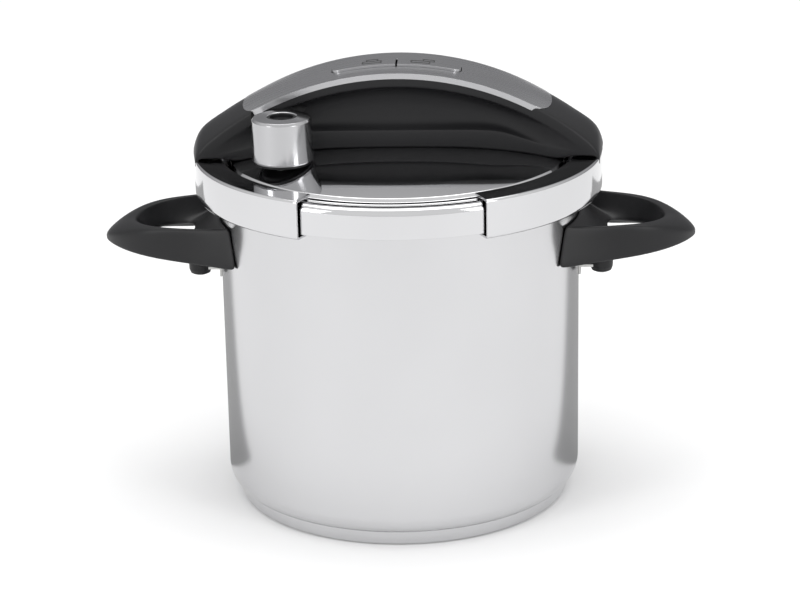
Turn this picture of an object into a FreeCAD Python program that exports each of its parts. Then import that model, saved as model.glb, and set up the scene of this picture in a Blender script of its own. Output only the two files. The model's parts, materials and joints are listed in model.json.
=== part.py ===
import FreeCAD, Part
import math
import os
from types import SimpleNamespace

import Sketcher
from FreeCAD import Placement, Rotation, Vector

# Stovetop pressure cooker, 22 cm, with two clamping jaws under a bridge handle.
# The frame has its origin at the centre of the base on the hob, +Z up and -Y to the front.
# The bridge handle, the jaws and the side handles lie along X.
doc = FreeCAD.newDocument("PressureCooker")

# Driving dimensions, in millimetres and degrees.
DIMENSIONS = {
    # pot
    "pot_inner_r": 110.0,
    "pot_wall": 0.8,
    "pot_floor_z": 7.0,
    "pot_corner_r": 12.0,
    "pot_rim_z": 207.0,
    "collar_r": 117.4,
    "collar_foot_z": 197.6,
    "base_disc_r": 102.4,
    "base_sheet": 0.6,
    # lid
    "lid_sheet": 0.9,
    "dome_r": 569.0,
    "dome_crown_z": 227.0,
    "dome_edge_r": 103.0,
    "lid_ring_z": 217.0,
    "skirt_r": 121.8,
    "skirt_foot_z": 198.7,
    # jaws
    "jaw_r": 124.9,
    "jaw_sheet": 1.5,
    "jaw_foot_z": 195.7,
    "jaw_top_z": 219.6,
    "jaw_lip_r": 113.6,
    "jaw_flange_r": 108.5,
    "jaw_angle": 128.0,
    "jaw_travel": 10.0,
    # bridge handle
    "arch_r": 177.5,
    "arch_centre_z": 95.4,
    "bridge_width": 54.0,
    "bridge_end_r": 125.7,
    "bridge_gap_z": 220.1,
    "bridge_cavity_width": 30.0,
    "plate_sheet": 1.0,
    "plate_lip": 3.4,
    "plate_half": 94.0,
    # lock and unlock buttons
    "button_half": 39.0,
    "button_width": 18.0,
    "button_raise": 3.0,
    "button_slit": 1.2,
    "button_travel": 3.5,
    "button_foot_z": 264.0,
    "stem_x": 19.0,
    # jaw mechanism
    "chassis_z": 227.4,
    "chassis_sheet": 1.5,
    "arm_z": 230.5,
    "arm_sheet": 2.0,
    "arm_width": 22.0,
    "arm_start_x": 8.0,
    "cam_pin_x": 12.0,
    "cam_pin_z": 240.0,
    "cam_pin_r": 1.5,
    "rocker_z": 254.0,
    "guide_x": 66.0,
    "spring_seat_x": 38.0,
    "spring_z": 237.0,
    # operating valve
    "valve_x": -67.0,
    "valve_y": -47.0,
    "knob_r": 18.0,
    "knob_foot_z": 226.0,
    "knob_top_z": 252.5,
    "stem_r": 4.0,
    # safety valve and pressure indicator
    "safety_x": 52.0,
    "safety_y": 52.0,
    "indicator_x": -45.0,
    "indicator_y": 55.0,
    # side handles
    "handle_tip_x": 183.0,
    "handle_half": 48.0,
    "handle_top_z": 181.5,
    "handle_foot_z": 157.0,
    "grip_foot_z": 159.0,
    "screw_x": 125.0,
}

sheet = doc.addObject("Spreadsheet::Sheet", "Dims")
for row, (name, value) in enumerate(DIMENSIONS.items(), start=1):
    sheet.set(f"A{row}", name)
    sheet.set(f"B{row}", str(value))
    sheet.setAlias(f"B{row}", name)
doc.recompute()


class Size:
    """A length together with the sheet formula that gives it."""

    def __init__(self, value, text):
        self.value = float(value)
        self.text = text

    def __add__(self, other):
        other = size(other)
        return Size(self.value + other.value, f"({self.text} + {other.text})")

    def __sub__(self, other):
        other = size(other)
        return Size(self.value - other.value, f"({self.text} - {other.text})")

    def __mul__(self, other):
        other = size(other)
        return Size(self.value * other.value, f"({self.text} * {other.text})")

    def __truediv__(self, other):
        other = size(other)
        return Size(self.value / other.value, f"({self.text} / {other.text})")

    def __neg__(self):
        return Size(-self.value, f"(0 - {self.text})")

    def __radd__(self, other):
        return size(other) + self

    def __rsub__(self, other):
        return size(other) - self

    def __rmul__(self, other):
        return size(other) * self


def size(number):
    """A plain number as a Size, or the Size itself."""
    if isinstance(number, Size):
        return number
    return Size(number, f"({number:.6g})")


def root(number):
    """Square root of a Size."""
    return Size(math.sqrt(number.value), f"sqrt({number.text})")


d = SimpleNamespace(**{name: Size(value, f"Dims.{name}") for name, value in DIMENSIONS.items()})


def bind(thing, path, number):
    """Give a property an expression, which is read from the sheet or is a plain number."""
    number = size(number)
    thing.setExpression(path, number.text)


# ---- modelling helpers ----
# A sub-part is a body, or a boolean or compound of bodies, and its Label names its file.
NODES = []
CUTS = []


def new_body(label, node=True):
    """An empty body; node says whether it is a sub-part of its own."""
    body = doc.addObject("PartDesign::Body", label)
    body.Label = label
    if node:
        NODES.append(body)
    return body


def place(thing, x=0, y=0, z=0, turn=0):
    """Move a sub-part to a place bound to the sheet, turned about the vertical."""
    thing.Placement = Placement(Vector(0, 0, 0), Rotation(Vector(0, 0, 1), turn))
    for axis, number in (("x", x), ("y", y), ("z", z)):
        bind(thing, f"Placement.Base.{axis}", number)


def new_sketch(body, role, lift=0):
    """A sketch on one of the body's origin planes, lifted along the plane's normal."""
    sketch = body.newObject("Sketcher::SketchObject", body.Name + "_Sketch")
    plane = [f for f in body.Origin.OriginFeatures if f.Role == role][0]
    sketch.AttachmentSupport = [(plane, "")]
    sketch.MapMode = "FlatFace"
    bind(sketch, "AttachmentOffset.Base.z", lift)
    return sketch


def arc_middle(start, end, radius, side):
    """Middle of the short arc from start to end that bulges left (side 1) or right (-1)."""
    chord = end - start
    sagitta = radius - math.sqrt(max(0, radius**2 - (chord.Length / 2) ** 2))
    left = Vector(-chord.y, chord.x, 0).normalize()
    return (start + end) / 2 + left * (side * sagitta)


def pin_down(sketch, edge, end, x, y):
    """Fix one end (1 or 2) or the centre (3) of an edge at sheet-bound coordinates."""
    for kind, number in (("DistanceX", x), ("DistanceY", y)):
        number = size(number)
        index = sketch.addConstraint(
            Sketcher.Constraint(kind, -1, 1, edge, end, number.value)
        )
        bind(sketch, f"Constraints[{index}]", number)


def outline(sketch, *corners):
    """Closed outline. A corner is (x, y), or (x, y, radius, side) when the edge that ends
    there is an arc that bulges to the left (1) or right (-1) of the way along."""
    spots = [Vector(size(c[0]).value, size(c[1]).value, 0) for c in corners]
    edges = []
    for i, corner in enumerate(corners):
        start, end = spots[i - 1], spots[i]
        if len(corner) == 2:
            edges.append((sketch.addGeometry(Part.LineSegment(start, end)), 1, 2))
            continue
        radius, side = size(corner[2]), corner[3]
        middle = arc_middle(start, end, radius.value, side)
        edge = sketch.addGeometry(Part.Arc(start, middle, end))
        # an arc always runs counter-clockwise, so one that bulges left is stored reversed
        ends = (2, 1) if side > 0 else (1, 2)
        edges.append((edge, *ends))
    for i, corner in enumerate(corners):
        before, after = edges[i], edges[(i + 1) % len(edges)]
        sketch.addConstraint(
            Sketcher.Constraint("Coincident", before[0], before[2], after[0], after[1])
        )
        pin_down(sketch, before[0], before[2], corner[0], corner[1])
    for i, corner in enumerate(corners):
        if len(corner) == 4:
            radius = size(corner[2])
            index = sketch.addConstraint(
                Sketcher.Constraint("Radius", edges[i][0], radius.value)
            )
            bind(sketch, f"Constraints[{index}]", radius)
    return sketch


def circle(sketch, x, y, radius):
    """A circle with a sheet-bound centre and radius."""
    x, y, radius = size(x), size(y), size(radius)
    centre = Vector(x.value, y.value, 0)
    edge = sketch.addGeometry(Part.Circle(centre, Vector(0, 0, 1), radius.value))
    pin_down(sketch, edge, 3, x, y)
    index = sketch.addConstraint(Sketcher.Constraint("Radius", edge, radius.value))
    bind(sketch, f"Constraints[{index}]", radius)
    return sketch


def box_outline(sketch, x0, x1, y0, y1):
    """A rectangle between two pairs of coordinates."""
    return outline(sketch, (x0, y0), (x1, y0), (x1, y1), (x0, y1))


def turned(label, *corners, angle=None, node=True):
    """A body turned about its vertical axis from an outline of (radius, height)."""
    body = new_body(label, node)
    sketch = outline(new_sketch(body, "XZ_Plane"), *corners)
    feature = body.newObject("PartDesign::Revolution", label + "_Turn")
    feature.Profile = sketch
    feature.ReferenceAxis = (sketch, ["V_Axis"])
    if angle is None:
        feature.Angle = 360
    else:
        feature.Midplane = True
        bind(feature, "Angle", angle)
    return body


def groove(body, *corners):
    """Turn away what an outline of (radius, height) sweeps about the vertical axis."""
    sketch = outline(new_sketch(body, "XZ_Plane"), *corners)
    feature = body.newObject("PartDesign::Groove", body.Name + "_Groove")
    feature.Profile = sketch
    feature.ReferenceAxis = (sketch, ["V_Axis"])
    feature.Angle = 360
    CUTS.append(feature)


def pad(body, sketch, length, symmetric=False, backward=False):
    """Pad a sketch, to both sides of its plane when symmetric."""
    feature = body.newObject("PartDesign::Pad", body.Name + "_Pad")
    feature.Profile = sketch
    bind(feature, "Length", length)
    if symmetric:
        feature.SideType = "Symmetric"
    feature.Reversed = backward
    return feature


def pocket(body, sketch, length=None, symmetric=False, backward=False):
    """Pocket a sketch; with no length it goes right through."""
    feature = body.newObject("PartDesign::Pocket", body.Name + "_Pocket")
    feature.Profile = sketch
    if length is None:
        feature.Type = "ThroughAll"
    else:
        bind(feature, "Length", length)
    if symmetric:
        feature.SideType = "Symmetric"
    feature.Reversed = backward
    CUTS.append(feature)
    return feature


def soften(body, radius, chosen):
    """Round the edges of the body's last feature that chosen(edge) picks."""
    doc.recompute()
    base = body.Tip
    names = [
        f"Edge{i}" for i, edge in enumerate(base.Shape.Edges, start=1) if chosen(edge)
    ]
    feature = body.newObject("PartDesign::Fillet", body.Name + "_Fillet")
    feature.Base = (base, names)
    bind(feature, "Radius", radius)
    return feature


def join(kind, label, parts):
    """A compound or boolean of bodies that counts as one sub-part."""
    thing = doc.addObject(kind, label)
    thing.Label = label
    if kind == "Part::Cut":
        thing.Base, thing.Tool = parts
    elif kind == "Part::Compound":
        thing.Links = parts
    else:
        thing.Shapes = parts
    NODES.append(thing)
    return thing


def dome_z(radius, drop=0):
    """Height of the lid's dome at a radius, on a sphere drop millimetres smaller."""
    ball = d.dome_r - drop
    return d.dome_crown_z - d.dome_r + root(ball * ball - size(radius) * size(radius))


def reach(x, y, more):
    """Distance of a place on the lid from its centre, plus or minus some more."""
    return root(x * x + y * y) + more


# ---- pot: deep-drawn steel shell with an outward collar that the jaws grip ----
pot_outer_r = d.pot_inner_r + d.pot_wall
corner_in = d.pot_corner_r - d.pot_wall
floor_top = d.pot_floor_z + d.pot_wall
collar_in = d.collar_r - d.pot_wall
COLLAR_BEND = 2.0
turned(
    "pot_shell",
    (0, d.pot_floor_z),
    (pot_outer_r - d.pot_corner_r, d.pot_floor_z),
    (pot_outer_r, d.pot_floor_z + d.pot_corner_r, d.pot_corner_r, -1),
    (pot_outer_r, d.pot_rim_z - d.pot_wall - COLLAR_BEND),
    (pot_outer_r + COLLAR_BEND, d.pot_rim_z - d.pot_wall, COLLAR_BEND, 1),
    (d.collar_r - COLLAR_BEND, d.pot_rim_z - d.pot_wall),
    (collar_in, d.pot_rim_z - COLLAR_BEND, COLLAR_BEND - d.pot_wall, 1),
    (collar_in, d.collar_foot_z),
    (d.collar_r, d.collar_foot_z),
    (d.collar_r, d.pot_rim_z - COLLAR_BEND),
    (d.collar_r - COLLAR_BEND, d.pot_rim_z, COLLAR_BEND, -1),
    (pot_outer_r + COLLAR_BEND, d.pot_rim_z),
    (d.pot_inner_r, d.pot_rim_z - d.pot_wall - COLLAR_BEND, COLLAR_BEND + d.pot_wall, -1),
    (d.pot_inner_r, d.pot_floor_z + d.pot_corner_r),
    (d.pot_inner_r - corner_in, floor_top, corner_in, 1),
    (0, floor_top),
)

# The heat-spreading base: an aluminium disc under the floor, in a pressed steel cap.
turned(
    "base_disc",
    (0, d.base_sheet),
    (d.base_disc_r, d.base_sheet),
    (d.base_disc_r, d.pot_floor_z),
    (pot_outer_r - d.pot_corner_r, d.pot_floor_z),
    (0, d.pot_floor_z),
)
CAP_CHAMFER = 1.2
cap_foot_r = d.base_disc_r + 1.0
cap_rim_r = d.base_disc_r + 3.2
turned(
    "base_cap",
    (0, 0),
    (cap_foot_r - CAP_CHAMFER, 0),
    (cap_foot_r, CAP_CHAMFER),
    (cap_rim_r, d.pot_floor_z + 2.0),
    (cap_rim_r - d.base_sheet, d.pot_floor_z + 1.6),
    (d.base_disc_r + 0.2, d.base_sheet + 0.8),
    (d.base_disc_r, d.base_sheet),
    (0, d.base_sheet),
)


# ---- side handles: moulded loops, each on a welded bracket with one screw from below ----
WALL_GAP = 0.2
BRACKET_SHEET = 1.5
BRACKET_HALF = 12.0
BRACKET_FOOT_Z = 141.0
BRACKET_HEAD_Z = 175.0
LEG_Z = 142.0
LEG_SHEET = 3.0
LEG_END = 6.5
BOSS_R = 6.0
GRIP_INNER_X = 129.0
GRIP_THICK = 18.0
SCREW_R = 2.5
SCREW_TOP_Z = 165.0
TIP_Z = 164.0


def side_handle(side, turn):
    """One loop handle with its bracket and screw, built on +X and then turned."""
    body = new_body("handle_" + side)
    wall_r = pot_outer_r + WALL_GAP
    root_x = root(wall_r * wall_r - d.handle_half * d.handle_half)
    shoulder_x = d.handle_tip_x - 32
    shoulder_y = d.handle_half - 14
    plan = outline(
        new_sketch(body, "XY_Plane", d.handle_foot_z),
        (root_x, -d.handle_half, wall_r, 1),
        (shoulder_x, -shoulder_y, 190, -1),
        (d.handle_tip_x, 0, 38, -1),
        (shoulder_x, shoulder_y, 38, -1),
        (root_x, d.handle_half, 190, -1),
    )
    pad(body, plan, d.handle_top_z - d.handle_foot_z)
    # the top falls away to the tip, and the grip's underside is higher than the root's
    past_x = d.handle_tip_x + 5
    over = outline(
        new_sketch(body, "XZ_Plane"),
        (shoulder_x, d.handle_top_z),
        (d.handle_tip_x, TIP_Z, 50, 1),
        (past_x, TIP_Z),
        (past_x, d.handle_top_z + 5),
        (shoulder_x, d.handle_top_z + 5),
    )
    pocket(body, over, symmetric=True)
    under = outline(
        new_sketch(body, "XZ_Plane"),
        (d.screw_x - 7, d.handle_foot_z),
        (d.screw_x + 1, d.grip_foot_z),
        (shoulder_x + 14, d.grip_foot_z),
        (d.handle_tip_x, TIP_Z - 1, 25, -1),
        (past_x, TIP_Z - 1),
        (past_x, d.handle_foot_z - 5),
        (d.screw_x - 7, d.handle_foot_z - 5),
    )
    pocket(body, under, symmetric=True)
    grip_half = shoulder_y - 12
    finger_hole = outline(
        new_sketch(body, "XY_Plane", d.handle_foot_z - 5),
        (GRIP_INNER_X, -grip_half),
        (GRIP_INNER_X + 16, -grip_half),
        (d.handle_tip_x - GRIP_THICK, 0, 23, -1),
        (GRIP_INNER_X + 16, grip_half, 23, -1),
        (GRIP_INNER_X, grip_half),
    )
    pocket(body, finger_hole, backward=True)
    bracket_room = box_outline(
        new_sketch(body, "XZ_Plane"),
        d.pot_inner_r - 10,
        pot_outer_r + BRACKET_SHEET + WALL_GAP,
        d.handle_foot_z - 1,
        BRACKET_HEAD_Z + WALL_GAP,
    )
    pocket(body, bracket_room, 2 * (BRACKET_HALF + WALL_GAP), symmetric=True)
    leg_top = size(LEG_Z) + LEG_SHEET
    boss = circle(new_sketch(body, "XY_Plane", leg_top), d.screw_x, 0, BOSS_R)
    pad(body, boss, d.grip_foot_z + 1 - leg_top)
    screw_hole = circle(new_sketch(body, "XY_Plane", leg_top - 1), d.screw_x, 0, SCREW_R)
    pocket(body, screw_hole, SCREW_TOP_Z + 1 - leg_top, backward=True)
    place(body, turn=turn)

    half_angle = math.degrees(math.asin(BRACKET_HALF / (pot_outer_r.value + BRACKET_SHEET)))
    bracket = turned(
        "handle_bracket_" + side,
        (pot_outer_r, BRACKET_FOOT_Z),
        (pot_outer_r + BRACKET_SHEET, BRACKET_FOOT_Z),
        (pot_outer_r + BRACKET_SHEET, BRACKET_HEAD_Z),
        (pot_outer_r, BRACKET_HEAD_Z),
        angle=2 * half_angle,
    )
    leg = box_outline(
        new_sketch(bracket, "XZ_Plane"),
        pot_outer_r + 0.5,
        d.screw_x + LEG_END,
        LEG_Z,
        leg_top,
    )
    pad(bracket, leg, 16, symmetric=True)
    leg_hole = circle(new_sketch(bracket, "XY_Plane", leg_top + 1), d.screw_x, 0, SCREW_R)
    pocket(bracket, leg_hole, LEG_SHEET + 2)
    place(bracket, turn=turn)

    screw = turned(
        "handle_screw_" + side,
        (0, LEG_Z - 2.5),
        (3.8, LEG_Z - 2.5),
        (4.6, LEG_Z - 1.5),
        (4.6, LEG_Z),
        (SCREW_R, LEG_Z),
        (SCREW_R, SCREW_TOP_Z),
        (0, SCREW_TOP_Z),
    )
    place(screw, x=d.screw_x if turn == 0 else -d.screw_x)


side_handle("right", 0)
side_handle("left", 180)


# ---- lid: one pressed dome with a rim channel and a skirt, and flat seats for valves ----
GROOVE_DEPTH = 1.0
RIM_BEND = 5.3
RING_X = 6.4
dome_edge_z = dome_z(d.dome_edge_r)
groove_z = d.lid_ring_z - GROOVE_DEPTH
skirt_in = d.skirt_r - d.lid_sheet
lid = turned(
    "lid_shell",
    (0, d.dome_crown_z - d.lid_sheet),
    (d.dome_edge_r - 0.2, dome_z(d.dome_edge_r - 0.2, d.lid_sheet), d.dome_r - d.lid_sheet, 1),
    (d.dome_edge_r + 1.8, groove_z - d.lid_sheet),
    (d.dome_edge_r + 5.1, groove_z - d.lid_sheet),
    (d.dome_edge_r + 6.7, d.lid_ring_z - d.lid_sheet),
    (d.skirt_r - RIM_BEND, d.lid_ring_z - d.lid_sheet),
    (skirt_in, d.lid_ring_z - RIM_BEND, RIM_BEND - d.lid_sheet, 1),
    (skirt_in, d.skirt_foot_z),
    (d.skirt_r, d.skirt_foot_z),
    (d.skirt_r, d.lid_ring_z - RIM_BEND),
    (d.skirt_r - RIM_BEND, d.lid_ring_z, RIM_BEND, -1),
    (d.dome_edge_r + RING_X, d.lid_ring_z),
    (d.dome_edge_r + 4.8, groove_z),
    (d.dome_edge_r + 2.2, groove_z),
    (d.dome_edge_r, dome_edge_z),
    (0, d.dome_crown_z, d.dome_r, -1),
)


class Seat:
    """A flat round seat in the dome for a valve at (x, y)."""

    def __init__(self, x, y, radius, hole):
        self.x, self.y, self.hole = x, y, hole
        self.top = dome_z(reach(x, y, -radius)) + 0.4
        self.foot = dome_z(reach(x, y, radius), d.lid_sheet) - 0.4
        disc = circle(new_sketch(lid, "XY_Plane", self.foot), x, y, radius)
        pad(lid, disc, self.top - self.foot)

    def place(self, thing):
        place(thing, x=self.x, y=self.y)


valve = Seat(d.valve_x, d.valve_y, 13, 5)
safety = Seat(d.safety_x, d.safety_y, 9, 4)
indicator = Seat(d.indicator_x, d.indicator_y, 8, 4)

RIVET_X, RIVET_Y, RIVET_R = 28.0, 8.0, 2.0
BRIDGE_SCREW_X, BRIDGE_SCREW_Y, BRIDGE_SCREW_R = 95.0, 20.5, 2.0
RIVET_PLACES = [(i * RIVET_X, j * RIVET_Y) for i in (1, -1) for j in (1, -1)]
SCREW_PLACES = [(i * BRIDGE_SCREW_X, j * BRIDGE_SCREW_Y) for i in (1, -1) for j in (1, -1)]
over_lid = d.dome_crown_z + 5
holes = new_sketch(lid, "XY_Plane", over_lid)
for seat in (valve, safety, indicator):
    circle(holes, seat.x, seat.y, seat.hole)
for x, y in RIVET_PLACES:
    circle(holes, x, y, RIVET_R)
for x, y in SCREW_PLACES:
    circle(holes, x, y, BRIDGE_SCREW_R)
pocket(lid, holes)

# The steam window is a slot in the rim channel that lets the seal bulge out and vent.
WINDOW_ANGLE, WINDOW_LONG, WINDOW_WIDE = -34.5, 8.0, 2.2
window_r = d.dome_edge_r + 3.5
along = Vector(-math.sin(math.radians(WINDOW_ANGLE)), math.cos(math.radians(WINDOW_ANGLE)), 0)
across = Vector(math.cos(math.radians(WINDOW_ANGLE)), math.sin(math.radians(WINDOW_ANGLE)), 0)
window_corners = []
for i, j in ((-1, -1), (1, -1), (1, 1), (-1, 1)):
    shift = along * (i * WINDOW_LONG / 2) + across * (j * WINDOW_WIDE / 2)
    window_corners.append((window_r * across.x + shift.x, window_r * across.y + shift.y))
pocket(lid, outline(new_sketch(lid, "XY_Plane", over_lid), *window_corners), 20)

# The silicone seal has a C section that steam pushes open against the collar and the lid.
SEAL_FOOT = 0.3
seal_foot = d.pot_rim_z + SEAL_FOOT
turned(
    "gasket",
    (110.8, seal_foot),
    (skirt_in - 0.3, seal_foot),
    (skirt_in - 0.3, 211.5),
    (117.2, 215.6),
    (112.0, 215.6),
    (111.2, 214.6),
    (111.2, 213.4),
    (116.0, 213.0),
    (117.2, 211.8),
    (117.2, 210.2),
    (115.6, 209.2),
    (110.8, 208.5),
)


# ---- bridge handle: a hollow moulded arch over the mechanism, ending flush with the jaws ----
ARCH_END_X = 116.0
ARCH_END_R = 14.0
WALL_TOP = 5.5
SKIRT_Z = 237.0
RECESS_HALF = 86.0
RECESS_BAND = 8.2
RECESS_DEPTH = 9.0
CAVITY_END_X = 112.0


def arch_z(x, drop=0):
    """Height of the arch at a distance from the middle, drop millimetres further in."""
    radius = d.arch_r - drop
    return d.arch_centre_z + root(radius * radius - size(x) * size(x))


blank = new_body("bridge_blank", node=False)
side_view = outline(
    new_sketch(blank, "XZ_Plane"),
    (-d.bridge_end_r, d.jaw_foot_z),
    (d.bridge_end_r, d.jaw_foot_z),
    (d.bridge_end_r, d.bridge_gap_z),
    (ARCH_END_X, arch_z(ARCH_END_X), ARCH_END_R, -1),
    (-ARCH_END_X, arch_z(ARCH_END_X), d.arch_r, -1),
    (-d.bridge_end_r, d.bridge_gap_z, ARCH_END_R, -1),
)
pad(blank, side_view, d.bridge_width, symmetric=True)
# clear of the dome below, of the jaw flanges, and round at the ends like the jaws
under_z = d.jaw_foot_z - 5
groove(
    blank,
    (0, under_z),
    (d.bridge_end_r + 30, under_z),
    (d.bridge_end_r + 30, d.arch_centre_z + d.arch_r),
    (d.bridge_end_r, d.arch_centre_z + d.arch_r),
    (d.bridge_end_r, d.bridge_gap_z),
    (d.dome_edge_r + 1.5, d.bridge_gap_z),
    (d.dome_edge_r, dome_edge_z + 0.05),
    (0, d.dome_crown_z + 0.05, d.dome_r, -1),
)
cavity = outline(
    new_sketch(blank, "XZ_Plane"),
    (-CAVITY_END_X, under_z),
    (CAVITY_END_X, under_z),
    (CAVITY_END_X, arch_z(CAVITY_END_X, WALL_TOP)),
    (-CAVITY_END_X, arch_z(CAVITY_END_X, WALL_TOP), d.arch_r - WALL_TOP, -1),
)
pocket(blank, cavity, d.bridge_cavity_width, symmetric=True)
# finger recesses in both long faces, under a band that follows the arch
half_width = d.bridge_width / 2
for lift, backward in ((half_width, False), (-half_width, True)):
    recess = outline(
        new_sketch(blank, "XZ_Plane", lift),
        (-RECESS_HALF, SKIRT_Z),
        (RECESS_HALF, SKIRT_Z),
        (RECESS_HALF, arch_z(RECESS_HALF, RECESS_BAND)),
        (-RECESS_HALF, arch_z(RECESS_HALF, RECESS_BAND), d.arch_r - RECESS_BAND, -1),
    )
    pocket(blank, recess, RECESS_DEPTH, backward=backward)
# the niche that leaves room for a hand to turn the operating valve
NICHE_R, NICHE_BACK = 23.0, 5.0
NICHE_TOP_Z = 251.0
niche = circle(
    new_sketch(blank, "XY_Plane", NICHE_TOP_Z), d.valve_x, d.valve_y + NICHE_BACK, NICHE_R
)
pocket(blank, niche)
# slots in both ends for the jaw arms
arm_room = d.arm_width + 2
for side in (1, -1):
    near, far = size(CAVITY_END_X - 2), d.bridge_end_r + 5
    slot = box_outline(
        new_sketch(blank, "XZ_Plane"),
        side * far if side < 0 else near,
        side * near if side < 0 else far,
        d.bridge_gap_z - 5,
        d.jaw_top_z + d.arm_sheet + 0.8,
    )
    pocket(blank, slot, arm_room, symmetric=True)
BUTTON_GAP = 0.5
BUTTON_CORNER_R = 6.0


def button_opening(body, depth):
    """The opening for both buttons, cut from above."""
    half_x = d.button_half + BUTTON_GAP
    half_y = d.button_width / 2 + BUTTON_GAP
    inner_x, inner_y = half_x - BUTTON_CORNER_R, half_y - BUTTON_CORNER_R
    opening = outline(
        new_sketch(body, "XY_Plane", d.arch_centre_z + d.arch_r + 5),
        (inner_x, -half_y),
        (half_x, -inner_y, BUTTON_CORNER_R, -1),
        (half_x, inner_y),
        (inner_x, half_y, BUTTON_CORNER_R, -1),
        (-inner_x, half_y),
        (-half_x, inner_y, BUTTON_CORNER_R, -1),
        (-half_x, -inner_y),
        (-inner_x, -half_y, BUTTON_CORNER_R, -1),
    )
    pocket(body, opening, depth)


button_opening(blank, 30)
screw_holes = new_sketch(blank, "XY_Plane", under_z)
SCREW_HEAD_Z = 216.4
BRIDGE_SCREW_TOP_Z = 232.0
for x, y in SCREW_PLACES:
    circle(screw_holes, x, y, BRIDGE_SCREW_R)
pocket(blank, screw_holes, BRIDGE_SCREW_TOP_Z - under_z, backward=True)

# The steel cover on top: a curved strip with round tips and a folded lip all round.
TIP_R = 20.0
plate = new_body("top_plate")
tip_x, tip_y = d.plate_half - TIP_R, half_width - TIP_R
plate_foot = arch_z(d.plate_half, d.plate_lip) - 5
top_of_arch = d.arch_centre_z + d.arch_r
strip = outline(
    new_sketch(plate, "XY_Plane", plate_foot),
    (tip_x, -half_width),
    (d.plate_half, -tip_y, TIP_R, -1),
    (d.plate_half, tip_y),
    (tip_x, half_width, TIP_R, -1),
    (-tip_x, half_width),
    (-d.plate_half, tip_y, TIP_R, -1),
    (-d.plate_half, -tip_y),
    (-tip_x, -half_width, TIP_R, -1),
)
pad(plate, strip, top_of_arch + 2 - plate_foot)
past_tip = d.plate_half + 3
above = outline(
    new_sketch(plate, "XZ_Plane"),
    (-past_tip, arch_z(past_tip)),
    (past_tip, arch_z(past_tip), d.arch_r, 1),
    (past_tip, top_of_arch + 5),
    (-past_tip, top_of_arch + 5),
)
pocket(plate, above, symmetric=True)
below = outline(
    new_sketch(plate, "XZ_Plane"),
    (-past_tip, plate_foot - 2),
    (past_tip, plate_foot - 2),
    (past_tip, arch_z(past_tip, d.plate_lip)),
    (-past_tip, arch_z(past_tip, d.plate_lip), d.arch_r - d.plate_lip, -1),
)
pocket(plate, below, symmetric=True)
doc.recompute()
solid = plate.Tip
largest = sorted(range(len(solid.Shape.Faces)), key=lambda i: -solid.Shape.Faces[i].Area)[:2]
under_face = min(largest, key=lambda i: solid.Shape.Faces[i].CenterOfMass.z)
shell = plate.newObject("PartDesign::Thickness", "top_plate_Shell")
shell.Base = (solid, [f"Face{under_face + 1}"])
bind(shell, "Value", d.plate_sheet)
shell.Reversed = True
button_opening(plate, 30)
join("Part::Cut", "bridge_body", (blank, plate))


# ---- jaws: C-section steel clamps, each riveted to an arm that slides under the bridge ----
JAW_BEND = 2.5
jaw_in = d.jaw_r - d.jaw_sheet
inner_bend = JAW_BEND - d.jaw_sheet
lip_top = d.jaw_foot_z + d.jaw_sheet
flange_foot = d.jaw_top_z - d.jaw_sheet
arm_top = d.arm_z + d.arm_sheet
arm_foot_top = d.jaw_top_z + d.arm_sheet
ARM_BEND_X, ARM_FOOT_X, ARM_END_X = 80.0, 101.0, 119.0
FORK_HALF, FORK_OUT, FORK_IN = 3.0, 4.2, 2.2
FORK_TOP_Z = 243.0
JAW_RIVET_X, JAW_RIVET_Y = 114.0, 6.0


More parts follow.
